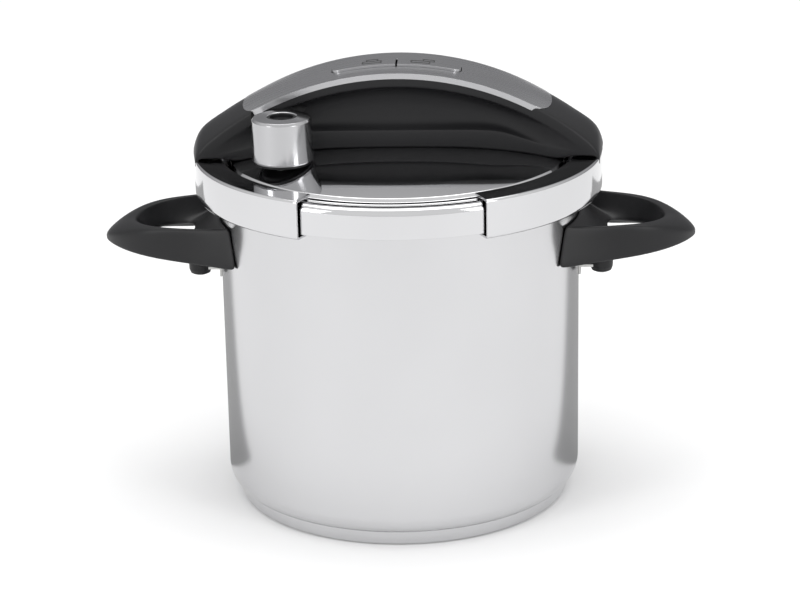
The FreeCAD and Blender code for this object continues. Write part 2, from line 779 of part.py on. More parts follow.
def jaw(side, turn):
    """One jaw with its arm, rivets and cam pin, built on +X and then turned."""
    clamp = turned(
        "jaw_" + side,
        (d.jaw_lip_r, d.jaw_foot_z),
        (d.jaw_r - JAW_BEND, d.jaw_foot_z),
        (d.jaw_r, d.jaw_foot_z + JAW_BEND, JAW_BEND, -1),
        (d.jaw_r, d.jaw_top_z - JAW_BEND),
        (d.jaw_r - JAW_BEND, d.jaw_top_z, JAW_BEND, -1),
        (d.jaw_flange_r, d.jaw_top_z),
        (d.jaw_flange_r, flange_foot),
        (d.jaw_r - JAW_BEND, flange_foot),
        (jaw_in, flange_foot - inner_bend, inner_bend, 1),
        (jaw_in, lip_top + inner_bend),
        (d.jaw_r - JAW_BEND, lip_top, inner_bend, 1),
        (d.jaw_lip_r, lip_top),
        angle=d.jaw_angle,
    )
    arm = new_body("jaw_arm_" + side)
    side_view = outline(
        new_sketch(arm, "XZ_Plane"),
        (d.arm_start_x, d.arm_z),
        (ARM_BEND_X - 0.5, d.arm_z),
        (ARM_FOOT_X - 0.6, d.jaw_top_z),
        (ARM_END_X, d.jaw_top_z),
        (ARM_END_X, arm_foot_top),
        (ARM_FOOT_X, arm_foot_top),
        (ARM_BEND_X, arm_top),
        (d.arm_start_x, arm_top),
    )
    pad(arm, side_view, d.arm_width, symmetric=True)
    fork = (d.cam_pin_x - FORK_HALF, d.cam_pin_x + FORK_HALF)
    cheeks = box_outline(new_sketch(arm, "XZ_Plane"), *fork, arm_top - 0.5, FORK_TOP_Z)
    pad(arm, cheeks, 2 * FORK_OUT, symmetric=True)
    gap = box_outline(
        new_sketch(arm, "XZ_Plane"), fork[0] - 1, fork[1] + 1, arm_top, FORK_TOP_Z + 1
    )
    pocket(arm, gap, 2 * FORK_IN, symmetric=True)
    seat = box_outline(
        new_sketch(arm, "XZ_Plane"),
        d.spring_seat_x - d.arm_sheet,
        d.spring_seat_x,
        arm_top - 0.5,
        d.spring_z + 4,
    )
    pad(arm, seat, 10, symmetric=True)
    pin_hole = circle(new_sketch(arm, "XZ_Plane"), d.cam_pin_x, d.cam_pin_z, d.cam_pin_r)
    pocket(arm, pin_hole, symmetric=True)
    for thing in (clamp, arm):
        holes = new_sketch(thing, "XY_Plane", arm_foot_top + 1)
        for y in (JAW_RIVET_Y, -JAW_RIVET_Y):
            circle(holes, JAW_RIVET_X, y, RIVET_R)
        pocket(thing, holes, d.arm_sheet + d.jaw_sheet + 2)
        place(thing, turn=turn)

    rivets = []
    for y in (JAW_RIVET_Y, -JAW_RIVET_Y):
        rivet = turned(
            f"jaw_rivet_{side}_{'front' if y < 0 else 'back'}",
            (0, flange_foot),
            (RIVET_R, flange_foot),
            (RIVET_R, arm_foot_top),
            (0, arm_foot_top),
            node=False,
        )
        place(rivet, x=JAW_RIVET_X if turn == 0 else -JAW_RIVET_X, y=y)
        rivets.append(rivet)
    join("Part::Compound", f"jaw_rivets_{side}", rivets)

    pin = new_body("cam_pin_" + side)
    disc = circle(new_sketch(pin, "XZ_Plane"), d.cam_pin_x, d.cam_pin_z, d.cam_pin_r)
    pad(pin, disc, 2 * FORK_OUT, symmetric=True)
    place(pin, turn=turn)


jaw("right", 0)
jaw("left", 180)


# ---- chassis: a steel strip riveted on the dome, with guides for the arms ----
CHASSIS_END_X, CHASSIS_HALF = 76.0, 14.0
POST_HALF, POST_NEAR, POST_FAR = 6.0, 9.0, 11.0
ROCKER_PIN_R = 2.0
chassis_top = d.chassis_z + d.chassis_sheet
chassis = new_body("chassis")
strip = box_outline(
    new_sketch(chassis, "XY_Plane", d.chassis_z),
    -CHASSIS_END_X,
    CHASSIS_END_X,
    -CHASSIS_HALF,
    CHASSIS_HALF,
)
pad(chassis, strip, d.chassis_sheet)
post = box_outline(
    new_sketch(chassis, "XY_Plane", chassis_top - 0.5),
    -POST_HALF,
    POST_HALF,
    POST_NEAR,
    POST_FAR,
)
pad(chassis, post, d.rocker_z + 4.5 - chassis_top)
pivot_hole = circle(new_sketch(chassis, "XZ_Plane"), 0, d.rocker_z, ROCKER_PIN_R)
pocket(chassis, pivot_hole, symmetric=True)
holes = new_sketch(chassis, "XY_Plane", chassis_top + 0.5)
for x, y in RIVET_PLACES:
    circle(holes, x, y, RIVET_R)
pocket(chassis, holes, d.chassis_sheet + 1)

RIVET_HEAD_R, RIVET_HEAD = 3.5, 1.2
rivet_seat = dome_z(reach(size(RIVET_X), size(RIVET_Y), -RIVET_HEAD_R)) + 0.1
rivet_under = dome_z(reach(size(RIVET_X), size(RIVET_Y), RIVET_HEAD_R), d.lid_sheet) - 0.1
rivets = []
for i, (x, y) in enumerate(RIVET_PLACES, start=1):
    rivet = turned(
        f"chassis_rivet_{i}",
        (0, rivet_under - 1.6),
        (RIVET_HEAD_R, rivet_under - 1.6),
        (RIVET_HEAD_R, rivet_under),
        (RIVET_R, rivet_under),
        (RIVET_R, rivet_seat),
        (RIVET_HEAD_R, rivet_seat),
        (RIVET_HEAD_R, d.chassis_z),
        (RIVET_R, d.chassis_z),
        (RIVET_R, chassis_top),
        (RIVET_HEAD_R, chassis_top),
        (RIVET_HEAD_R, chassis_top + RIVET_HEAD),
        (0, chassis_top + RIVET_HEAD),
        node=False,
    )
    place(rivet, x=x, y=y)
    rivets.append(rivet)
join("Part::Compound", "chassis_rivets", rivets)

screws = []
for i, (x, y) in enumerate(SCREW_PLACES, start=1):
    screw = turned(
        f"bridge_screw_{i}",
        (0, SCREW_HEAD_Z - 2.6),
        (3.8, SCREW_HEAD_Z - 2.6),
        (3.8, SCREW_HEAD_Z),
        (BRIDGE_SCREW_R, SCREW_HEAD_Z),
        (BRIDGE_SCREW_R, BRIDGE_SCREW_TOP_Z),
        (0, BRIDGE_SCREW_TOP_Z),
        node=False,
    )
    place(screw, x=x, y=y)
    screws.append(screw)
join("Part::Compound", "bridge_screws", screws)

GUIDE_LONG, GUIDE_HALF, GUIDE_ROOF = 6.0, 13.3, 1.8
ARM_PLAY = 0.3
SPRING_R, SPRING_WIRE_R, SPRING_PITCH = 2.8, 0.4, 3.0
for side, turn in (("right", 0), ("left", 180)):
    guide = new_body("arm_guide_" + side)
    arm_half = d.arm_width / 2 + ARM_PLAY
    roof = arm_top + ARM_PLAY
    arch = outline(
        new_sketch(guide, "YZ_Plane", d.guide_x),
        (-GUIDE_HALF, chassis_top),
        (-arm_half, chassis_top),
        (-arm_half, roof),
        (arm_half, roof),
        (arm_half, chassis_top),
        (GUIDE_HALF, chassis_top),
        (GUIDE_HALF, roof + GUIDE_ROOF),
        (-GUIDE_HALF, roof + GUIDE_ROOF),
    )
    pad(guide, arch, GUIDE_LONG)
    stop = box_outline(
        new_sketch(guide, "YZ_Plane", d.guide_x), -5, 5, roof + GUIDE_ROOF - 0.5, d.spring_z + 4
    )
    pad(guide, stop, 2)
    place(guide, turn=turn)

    spring = new_body("jaw_spring_" + side)
    wire = circle(
        new_sketch(spring, "XZ_Plane"), d.spring_seat_x + SPRING_WIRE_R, SPRING_R, SPRING_WIRE_R
    )
    coil = spring.newObject("PartDesign::AdditiveHelix", spring.Name + "_Coil")
    coil.Profile = wire
    coil.ReferenceAxis = (wire, ["H_Axis"])
    coil.Mode = "pitch-height-angle"
    bind(coil, "Pitch", SPRING_PITCH)
    bind(coil, "Height", d.guide_x - d.spring_seat_x - 2 * SPRING_WIRE_R)
    place(spring, z=d.spring_z, turn=turn)


# ---- lock and unlock buttons, tied by a rocker; a cam plate under the unlock button spreads
# the arms by jaw_travel while the button goes down by button_travel ----
STEM_HALF_X, STEM_THICK = 4.0, 5.0
ROCKER_PLAY = 0.05
TIE_R, TIE_PLAY = 1.2, 0.15
cap_r = d.arch_r + d.button_raise
half_travel = d.button_travel / 2
tie_x = root(d.stem_x * d.stem_x - half_travel * half_travel)
CAM_TOP_Z, CAM_FOOT_Z, CAM_HALF = 247.5, 237.0, 27.0


def button(label, side, tie_z, stem_foot):
    """One button: an arched cap and a stem with a slot for the rocker's pin."""
    body = new_body(label)
    inner, outer = d.button_slit / 2 * side, d.button_half * side
    top = d.arch_centre_z + root(cap_r * cap_r - outer * outer)
    inner_top = d.arch_centre_z + root(cap_r * cap_r - inner * inner)
    cap = outline(
        new_sketch(body, "XZ_Plane"),
        (inner, d.button_foot_z),
        (outer, d.button_foot_z),
        (outer, top),
        (inner, inner_top, cap_r, -side),
    )
    pad(body, cap, d.button_width, symmetric=True)
    soften(
        body,
        BUTTON_CORNER_R - BUTTON_GAP,
        lambda edge: edge.BoundBox.XLength < 0.01
        and edge.BoundBox.YLength < 0.01
        and abs(edge.BoundBox.XMax) > 10,
    )
    x0, x1 = d.stem_x * side - STEM_HALF_X, d.stem_x * side + STEM_HALF_X
    stem = box_outline(new_sketch(body, "XZ_Plane"), x0, x1, stem_foot, d.button_foot_z + 0.5)
    pad(body, stem, STEM_THICK, symmetric=True)
    slot_x, slot_z = TIE_R + 0.8, TIE_R + TIE_PLAY
    tie = tie_x * side
    slot = box_outline(
        new_sketch(body, "XZ_Plane"), tie - slot_x, tie + slot_x, tie_z - slot_z, tie_z + slot_z
    )
    pocket(body, slot, symmetric=True)
    return body


high_tie_z = d.rocker_z + half_travel
low_tie_z = d.rocker_z - half_travel
button("unlock_button", 1, high_tie_z, size(CAM_TOP_Z))
button("lock_button", -1, low_tie_z, CAM_TOP_Z + 0.7)

cam = new_body("cam_plate")
plan = outline(
    new_sketch(cam, "XZ_Plane"),
    (-CAM_HALF + 4, CAM_FOOT_Z),
    (CAM_HALF - 4, CAM_FOOT_Z),
    (CAM_HALF, CAM_FOOT_Z + 4),
    (CAM_HALF, CAM_TOP_Z),
    (-CAM_HALF, CAM_TOP_Z),
    (-CAM_HALF, CAM_FOOT_Z + 4),
)
pad(cam, plan, 2, symmetric=True)
slot_long = math.hypot(d.jaw_travel.value, d.button_travel.value)
run, rise = d.jaw_travel / slot_long, d.button_travel / slot_long
PIN_PLAY = 0.15
slot_half = d.cam_pin_r + PIN_PLAY
slot_end = slot_half + 0.5
for side in (1, -1):
    near_x, near_z = d.cam_pin_x - run * slot_end, d.cam_pin_z - rise * slot_end
    far_x = d.cam_pin_x + d.jaw_travel + run * slot_end
    far_z = d.cam_pin_z + d.button_travel + rise * slot_end
    slot = outline(
        new_sketch(cam, "XZ_Plane"),
        ((near_x + rise * slot_half) * side, near_z - run * slot_half),
        ((far_x + rise * slot_half) * side, far_z - run * slot_half),
        ((far_x - rise * slot_half) * side, far_z + run * slot_half),
        ((near_x - rise * slot_half) * side, near_z + run * slot_half),
    )
    pocket(cam, slot, symmetric=True)

ROCKER_NEAR, ROCKER_FAR = 3.0, 5.0
rocker = new_body("rocker")
bar = outline(
    new_sketch(rocker, "XZ_Plane", -ROCKER_FAR),
    (-tie_x - 3, low_tie_z - 2.6),
    (0, d.rocker_z - 4.6),
    (tie_x + 3, high_tie_z - 2.6),
    (tie_x + 3, high_tie_z + 2.6),
    (0, d.rocker_z + 4.6),
    (-tie_x - 3, low_tie_z + 2.6),
)
pad(rocker, bar, ROCKER_FAR - ROCKER_NEAR)
ties = new_sketch(rocker, "XZ_Plane", -ROCKER_NEAR - 0.5)
circle(ties, tie_x, high_tie_z, TIE_R)
circle(ties, -tie_x, low_tie_z, TIE_R)
pad(rocker, ties, ROCKER_NEAR + STEM_THICK / 2 + 0.5)
pivot = circle(new_sketch(rocker, "XZ_Plane"), 0, d.rocker_z, ROCKER_PIN_R + ROCKER_PLAY)
pocket(rocker, pivot, symmetric=True)

rocker_pin = new_body("rocker_pin")
disc = circle(new_sketch(rocker_pin, "XZ_Plane", -POST_FAR), 0, d.rocker_z, ROCKER_PIN_R)
pad(rocker_pin, disc, POST_FAR - ROCKER_NEAR)


# ---- operating valve: a weighted poppet in a steel knob that turns on a hollow stem ----
STEM_TOP_Z = 240.0
STEAM_R = 1.5
KNOB_PLAY = 0.05
COLLAR_R, COLLAR_TOP_Z = 15.0, 225.6
CORE_R, CHAMBER_R = 16.2, 7.0
CHAMBER_FOOT_Z = 240.8
KNOB_HOLE_R = 8.5
RETAINER_BORE_R = 2.4
POPPET_FOOT_Z, POPPET_TOP_Z = 241.1, 243.5
RETAINER_Z = 249.0
NUT_THICK = 5.0


def nut(label, seat, across, bore):
    """A hexagon nut under the lid, below a valve's seat."""
    body = new_body(label)
    corner = across / math.sqrt(3)
    hexagon = new_sketch(body, "XY_Plane", seat.foot - NUT_THICK)
    corners = []
    for i in range(6):
        turn = math.radians(60 * i)
        corners.append((corner * math.cos(turn), corner * math.sin(turn)))
    outline(hexagon, *corners)
    circle(hexagon, 0, 0, bore)
    pad(body, hexagon, NUT_THICK)
    seat.place(body)


valve_stem = turned(
    "valve_stem",
    (STEAM_R, valve.foot - NUT_THICK - 1.5),
    (valve.hole, valve.foot - NUT_THICK - 1.5),
    (valve.hole, valve.top),
    (d.stem_r, valve.top),
    (d.stem_r, STEM_TOP_Z - 1),
    (d.stem_r - 1, STEM_TOP_Z),
    (STEAM_R, STEM_TOP_Z),
)
valve.place(valve_stem)
nut("valve_nut", valve, 18.0, valve.hole)
valve_collar = turned(
    "valve_collar",
    (d.stem_r, valve.top),
    (COLLAR_R - 2, valve.top),
    (COLLAR_R, valve.top + 1),
    (COLLAR_R, COLLAR_TOP_Z),
    (d.stem_r, COLLAR_TOP_Z),
)
valve.place(valve_collar)
knob = turned(
    "valve_knob",
    (CORE_R, d.knob_foot_z),
    (d.knob_r - 0.7, d.knob_foot_z),
    (d.knob_r - 0.1, d.knob_foot_z + 0.6),
    (d.knob_r - 0.6, d.knob_top_z - 2.7),
    (d.knob_r - 1.4, d.knob_top_z - 1.1),
    (KNOB_HOLE_R + 0.7, d.knob_top_z),
    (KNOB_HOLE_R, d.knob_top_z - 0.5),
    (KNOB_HOLE_R, d.knob_top_z - 1.9),
    (CORE_R, d.knob_top_z - 2.9),
)
valve.place(knob)
core = turned(
    "valve_core",
    (d.stem_r + KNOB_PLAY, d.knob_foot_z + 0.4),
    (CORE_R, d.knob_foot_z + 0.4),
    (CORE_R, d.knob_top_z - 2.9),
    (KNOB_HOLE_R, d.knob_top_z - 1.9),
    (CHAMBER_R, d.knob_top_z - 1.9),
    (CHAMBER_R, CHAMBER_FOOT_Z),
    (d.stem_r + KNOB_PLAY, CHAMBER_FOOT_Z),
)
valve.place(core)
retainer = turned(
    "valve_retainer",
    (RETAINER_BORE_R, RETAINER_Z),
    (CHAMBER_R, RETAINER_Z),
    (CHAMBER_R, RETAINER_Z + 1.4),
    (RETAINER_BORE_R, RETAINER_Z + 1.4),
)
valve.place(retainer)
poppet = turned(
    "valve_poppet",
    (0, STEM_TOP_Z - 1.4),
    (STEAM_R - 0.1, STEM_TOP_Z + 0.1),
    (2.4, POPPET_FOOT_Z),
    (CHAMBER_R - 0.1, POPPET_FOOT_Z),
    (CHAMBER_R - 0.1, POPPET_TOP_Z),
    (0, POPPET_TOP_Z),
)
valve.place(poppet)


def coil_spring(label, seat, radius, wire_r, foot, top, pitch):
    """An upright coil spring between two heights."""
    body = new_body(label)
    wire = circle(new_sketch(body, "XZ_Plane"), radius, foot + wire_r, wire_r)
    coil = body.newObject("PartDesign::AdditiveHelix", label + "_Coil")
    coil.Profile = wire
    coil.ReferenceAxis = (wire, ["V_Axis"])
    coil.Mode = "pitch-height-angle"
    bind(coil, "Pitch", pitch)
    bind(coil, "Height", top - foot - 2 * wire_r)
    seat.place(body)


coil_spring("valve_spring", valve, 5.4, 0.4, size(POPPET_TOP_Z), size(RETAINER_Z), 1.6)


# ---- safety valve: a spring-loaded poppet in a steel body ----
TUBE_R, TUBE_BORE_R, TUBE_LONG = 6.0, 4.6, 14.0
CHAMBER_FLOOR = 3.0
SAFETY_BORE_R, SAFETY_STEM_R = 1.6, 1.6
DISC_THICK = 1.9
tube_top = safety.top + TUBE_LONG
safety_body = turned(
    "safety_valve_body",
    (SAFETY_BORE_R, safety.foot - NUT_THICK - 1.5),
    (safety.hole, safety.foot - NUT_THICK - 1.5),
    (safety.hole, safety.top),
    (TUBE_R + 1.5, safety.top),
    (TUBE_R + 1.5, safety.top + 1.5),
    (TUBE_R, safety.top + 2.5),
    (TUBE_R, tube_top - 0.8),
    (TUBE_R - 0.8, tube_top),
    (TUBE_BORE_R, tube_top),
    (TUBE_BORE_R, safety.top + CHAMBER_FLOOR),
    (SAFETY_BORE_R, safety.top + CHAMBER_FLOOR),
)
safety.place(safety_body)
nut("safety_valve_nut", safety, 13.0, safety.hole)
disc_foot = safety.top + CHAMBER_FLOOR + 0.1
disc_top = disc_foot + DISC_THICK
cap_foot = tube_top - 2
safety_cap = turned(
    "safety_valve_cap",
    (SAFETY_STEM_R + 0.1, cap_foot),
    (TUBE_BORE_R, cap_foot),
    (TUBE_BORE_R, tube_top),
    (SAFETY_STEM_R + 0.1, tube_top),
)
safety.place(safety_cap)
safety_poppet = turned(
    "safety_valve_poppet",
    (0, disc_foot),
    (TUBE_BORE_R - 0.1, disc_foot),
    (TUBE_BORE_R - 0.1, disc_top),
    (SAFETY_STEM_R, disc_top),
    (SAFETY_STEM_R, tube_top + 1.5),
    (0, tube_top + 1.5),
)
safety.place(safety_poppet)
coil_spring("safety_spring", safety, 3.2, 0.45, disc_top, cap_foot, 1.7)


# ---- pressure indicator: a float pin that rises in a silicone bush ----
PIN_R, PIN_RISE = 2.5, 4.5
BUSH_PLAY = 0.08
BUSH_HEAD_R, BUSH_HEAD = 6.0, 1.5
bush_foot = indicator.foot - BUSH_HEAD
bush_top = indicator.top + BUSH_HEAD
bush = turned(
    "indicator_bush",
    (PIN_R + BUSH_PLAY, bush_foot),
    (BUSH_HEAD_R, bush_foot),
    (BUSH_HEAD_R, indicator.foot),
    (indicator.hole, indicator.foot),
    (indicator.hole, indicator.top),
    (BUSH_HEAD_R, indicator.top),
    (BUSH_HEAD_R - 0.5, bush_top),
    (PIN_R + BUSH_PLAY, bush_top),
)
indicator.place(bush)
flange_top = bush_foot - PIN_RISE - 0.3
pin = turned(
    "pressure_indicator",
    (0, flange_top - 1.2),
    (4.2, flange_top - 1.2),
    (4.2, flange_top),
    (PIN_R, flange_top),
    (PIN_R, bush_top + 0.3),
    (PIN_R - 0.5, bush_top + 0.8),
    (0, bush_top + 0.8),
)
indicator.place(pin)


# ---- check every object, then write one file for each sub-part ----
doc.recompute()
for thing in doc.Objects:
    if "Invalid" in thing.State or "Error" in thing.State:
        raise RuntimeError(f"{thing.Name} failed: {thing.State}")
for cut in CUTS:
    features = [f for f in cut.getParentGeoFeatureGroup().Group if hasattr(f, "BaseFeature")]
    before = features[features.index(cut) - 1]
    if not cut.Shape.Volume < before.Shape.Volume - 1e-3:
        raise RuntimeError(f"{cut.Name} cuts nothing")
for node in NODES:
    if node.Shape.isNull() or not node.Shape.isValid():
        raise RuntimeError(f"{node.Label} has no valid shape")

os.makedirs("parts", exist_ok=True)
for node in NODES:
    node.Shape.exportStep(f"parts/{node.Label}.step")
print(len(NODES), "sub-parts written")
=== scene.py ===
import json
import math

import bmesh
import bpy
from mathutils import Matrix, Vector


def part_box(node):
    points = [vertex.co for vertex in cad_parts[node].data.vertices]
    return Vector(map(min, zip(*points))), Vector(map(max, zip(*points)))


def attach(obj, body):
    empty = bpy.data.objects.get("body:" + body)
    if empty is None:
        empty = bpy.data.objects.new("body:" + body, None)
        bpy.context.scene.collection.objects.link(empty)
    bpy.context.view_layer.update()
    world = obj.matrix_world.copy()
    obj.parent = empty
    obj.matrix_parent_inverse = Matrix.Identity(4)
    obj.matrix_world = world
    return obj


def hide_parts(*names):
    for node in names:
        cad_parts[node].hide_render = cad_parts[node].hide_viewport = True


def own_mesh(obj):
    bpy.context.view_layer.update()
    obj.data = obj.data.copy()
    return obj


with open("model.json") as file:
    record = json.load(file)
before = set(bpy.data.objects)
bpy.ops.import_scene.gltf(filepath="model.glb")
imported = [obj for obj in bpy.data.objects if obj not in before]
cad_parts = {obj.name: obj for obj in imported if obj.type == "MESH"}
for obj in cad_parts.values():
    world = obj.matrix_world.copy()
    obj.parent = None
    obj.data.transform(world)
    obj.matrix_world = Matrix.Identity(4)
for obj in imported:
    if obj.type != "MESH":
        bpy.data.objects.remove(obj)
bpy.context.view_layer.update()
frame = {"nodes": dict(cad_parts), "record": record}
nodes = frame["nodes"]

# ---- pot ----
# The pot is drawn from one sheet of 18/10 stainless steel, with a rolled collar at the rim
# that the jaws grip. The outside is polished while it turns, which leaves faint rings.
MM = 0.001
STEEL = (0.65, 0.65, 0.66, 1)


def start_piece(name, primitive, scale=(1, 1, 1), **settings):
    """Adds a primitive by its operator with nothing else selected, and names it."""
    bpy.ops.object.select_all(action="DESELECT")
    primitive(**settings)
    piece = bpy.context.object
    piece.scale = scale
    piece.name = piece.data.name = name
    return piece


def open_mesh():
    """Enters edit mode with every point selected."""
    bpy.ops.object.mode_set(mode="EDIT")
    bpy.ops.mesh.select_mode(type="VERT")
    bpy.ops.mesh.select_all(action="SELECT")


def settle(piece):
    """Leaves the piece at the origin, unturned, with its place in its mesh."""
    bpy.ops.object.transform_apply(location=True, rotation=True, scale=True)
    return piece


def modify(piece, kind, **settings):
    """Adds a modifier to the piece and applies it."""
    bpy.ops.object.select_all(action="DESELECT")
    piece.select_set(True)
    bpy.context.view_layer.objects.active = piece
    bpy.ops.object.modifier_add(type=kind)
    modifier = piece.modifiers[-1]
    for setting, value in settings.items():
        setattr(modifier, setting, value)
    bpy.ops.object.modifier_apply(modifier=modifier.name)


def face_out(piece):
    """Turns all the faces of a closed piece outwards."""
    bpy.ops.object.select_all(action="DESELECT")
    piece.select_set(True)
    bpy.context.view_layer.objects.active = piece
    open_mesh()
    bpy.ops.mesh.normals_make_consistent(inside=False)
    if bmesh.from_edit_mesh(piece.data).calc_volume(signed=True) < 0:
        bpy.ops.mesh.flip_normals()
    bpy.ops.object.mode_set(mode="OBJECT")
    return piece


def smooth(piece, angle=35):
    """Shades curves smooth and leaves edges sharper than the angle crisp."""
    bpy.ops.object.select_all(action="DESELECT")
    piece.select_set(True)
    bpy.context.view_layer.objects.active = piece
    bpy.ops.object.shade_smooth_by_angle(angle=math.radians(angle))
    modify(piece, "WEIGHTED_NORMAL", keep_sharp=True)


def rounded(*corners):
    """Points of an outline in millimetres whose corners (across, up, radius) are rounded."""
    points = []
    for i, corner in enumerate(corners):
        here = Vector((corner[0], corner[1], 0))
        if len(corner) == 2:
            points.append(here)
            continue
        before = Vector((*corners[i - 1][:2], 0))
        after = Vector((*corners[(i + 1) % len(corners)][:2], 0))
        back, ahead = (before - here).normalized(), (after - here).normalized()
        half = back.angle(ahead) / 2
        cut = corner[2] / math.tan(half)
        centre = here + (back + ahead).normalized() * (corner[2] / math.sin(half))
        start, end = here + back * cut - centre, here + ahead * cut - centre
        steps = max(2, round(math.degrees(math.pi - 2 * half) / 12))
        for step in range(steps + 1):
            points.append(centre + start.slerp(end, step / steps).normalized() * corner[2])
    return points


def turned(name, outline, steps=144, angle=360, centre=(0, 0), facing=0):
    """Turns a closed outline of (radius, height) about a vertical axis, as on a lathe. A part
    turn is centred on the facing angle, in degrees from +X, and has both its ends filled."""
    first = facing - (angle / 2 if angle < 360 else 0)
    turn = Matrix.Rotation(math.radians(first), 3, "Z")
    middle = Vector((*centre, 0)) * MM
    line = [middle + turn @ Vector((p[0], 0, p[1])) * MM for p in outline]
    if outline[0][0] > 0:
        line.append(line[0])
    piece = start_piece(name, bpy.ops.mesh.primitive_plane_add, size=MM)
    open_mesh()
    bpy.ops.mesh.merge(type="CENTER")
    for number, point in enumerate(line):
        if number:
            bpy.ops.mesh.extrude_region()
        tip = [v for v in bmesh.from_edit_mesh(piece.data).verts if v.select]
        tip[0].co = point
    bpy.ops.mesh.select_all(action="SELECT")
    bpy.ops.mesh.spin(
        steps=steps, angle=math.radians(-angle), center=middle, axis=(0, 0, 1)
    )
    bpy.ops.mesh.select_all(action="SELECT")
    bpy.ops.mesh.remove_doubles(threshold=2e-6)
    if angle < 360:
        bpy.ops.mesh.fill_holes(sides=0)
    bpy.ops.object.mode_set(mode="OBJECT")
    return face_out(piece)


class Shade:
    """What comes out of a shader node; arithmetic on it adds Math nodes."""

    def __init__(self, finish, socket):
        self.finish, self.socket = finish, socket

    def maths(self, operation, first, second):
        return self.finish.node("ShaderNodeMath", {"operation": operation}, {0: first, 1: second})

    def __add__(self, other):
        return self.maths("ADD", self, other)

    def __sub__(self, other):
        return self.maths("SUBTRACT", self, other)

    def __rsub__(self, other):
        return self.maths("SUBTRACT", other, self)

    def __mul__(self, other):
        return self.maths("MULTIPLY", self, other)

    def __pow__(self, other):
        return self.maths("POWER", self, other)

    __radd__, __rmul__ = __add__, __mul__


class Finish:
    """A material with one Principled shader. Plain numbers go on the shader's own sockets."""

    def __init__(self, name, **sockets):
        self.material = bpy.data.materials.new(name)
        self.material.use_nodes = True
        self.tree = self.material.node_tree
        self.shader = self.tree.nodes["Principled BSDF"]
        for key, value in sockets.items():
            self.shader.inputs[key.replace("_", " ")].default_value = value
        self.place = self.node("ShaderNodeTexCoord", {}, {}, "Object")

    def node(self, kind, settings, inputs, out=0):
        """One node: its settings first, then the values or links of its sockets."""
        node = self.tree.nodes.new(kind)
        for key, value in settings.items():
            if key == "stops":
                ramp = node.color_ramp.elements
                ramp[0].position, ramp[1].position = value[0][0], value[-1][0]
                ramp[0].color, ramp[1].color = value[0][1], value[-1][1]
                for position, colour in value[1:-1]:
                    ramp.new(position).color = colour
            else:
                setattr(node, key, value)
        for key, value in inputs.items():
            if isinstance(value, Shade):
                self.tree.links.new(value.socket, node.inputs[key])
            else:
                node.inputs[key].default_value = value
        return Shade(self, node.outputs[out])

    def noise(self, scale, stretch=(1, 1, 1), detail=3.0):
        """Noise from 0 to 1, with the grain stretched along the axes."""
        where = self.node("ShaderNodeMapping", {}, {"Vector": self.place, "Scale": stretch})
        inputs = {"Vector": where, "Scale": scale, "Detail": detail}
        return self.node("ShaderNodeTexNoise", {}, inputs)

    def blend(self, factor, first, second):
        """A colour between two, by a factor from 0 to 1."""
        settings = {"data_type": "RGBA"}
        return self.node("ShaderNodeMix", settings, {0: factor, 6: first, 7: second}, 2)

    def feed(self, **sockets):
        """Links what varies over the surface to the shader."""
        for key, value in sockets.items():
            self.tree.links.new(value.socket, self.shader.inputs[key.replace("_", " ")])
        return self

    def relief(self, height, depth):
        """A bump of that depth in millimetres on the surface."""
        inputs = {"Strength": 1.0, "Distance": depth * MM, "Height": height}
        return self.feed(Normal=self.node("ShaderNodeBump", {}, inputs))


def steel(name, shine, rings, tint=STEEL, depth=0.002, spread=0.05):
    """Steel of a given roughness, with polishing marks that run across the stretch axes."""
    finish = Finish(name, Metallic=1.0)
    marks = finish.noise(60, rings, 2.0)
    cloud = finish.noise(14, (1, 1, 1), 2.0)
    dull = tuple(0.93 * c for c in tint[:3]) + (1,)
    finish.feed(
        Base_Color=finish.blend(cloud, dull, tint),
        Roughness=shine + spread * marks + 0.03 * cloud,
    )
    return finish.relief(marks, depth).material


def wear(piece, material):
    """Gives a piece its material."""
    piece.data.materials.clear()
    piece.data.materials.append(material)
    return piece


pot_steel = steel("satin pot steel", 0.15, (1, 1, 60), (0.62, 0.62, 0.63, 1))
pot = turned(
    "pot",
    rounded(
        (0, 7), (110.8, 7, 12), (110.8, 206.2, 2), (116.6, 206.2, 1.2), (116.6, 197.6),
        (117.4, 197.6), (117.4, 207, 2), (110, 207, 2.8), (110, 7.8, 11.2), (0, 7.8),
    ),
    steps=192,
)
smooth(pot)
wear(pot, pot_steel)
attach(pot, "vessel")
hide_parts("pot_shell")

# ---- base ----
# A thick aluminium disc is pressed under the floor to spread the heat, and a steel cap is
# pressed over it. The cap's rim ends in a fine line round the foot of the pot.
cap_steel = steel("polished base cap", 0.10, (1, 1, 40))
base = turned(
    "base_shell",
    rounded(
        (0, 0), (60, 0), (103.6, 0, 2.5), (105.7, 9.4), (105.1, 9.4), (103.0, 2.0, 1.2),
        (102.4, 0.6), (0, 0.6),
    ),
    steps=192,
)
smooth(base)
wear(base, cap_steel)
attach(base, "vessel")
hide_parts("base_cap")

# ---- lid ----
# The lid is one pressed dome of stainless steel with rolled rings and a deep skirt round its
# rim, polished to a mirror. A slot in the channel lets the seal vent.
CROWN_Z, DOME_FALL, DOME_R = 227.0, 3.9, 78.0


def dome(radius, drop=0.0):
    """Height of the dome at a radius, less a drop: nearly flat in the middle, steeper outside."""
    return CROWN_Z - drop - DOME_FALL * (radius / DOME_R) ** 3


def cut(piece, cutter):
    """Takes the cutter's shape out of the piece."""
    modify(piece, "BOOLEAN", operation="DIFFERENCE", object=face_out(cutter), solver="MANIFOLD")
    bpy.data.objects.remove(cutter)


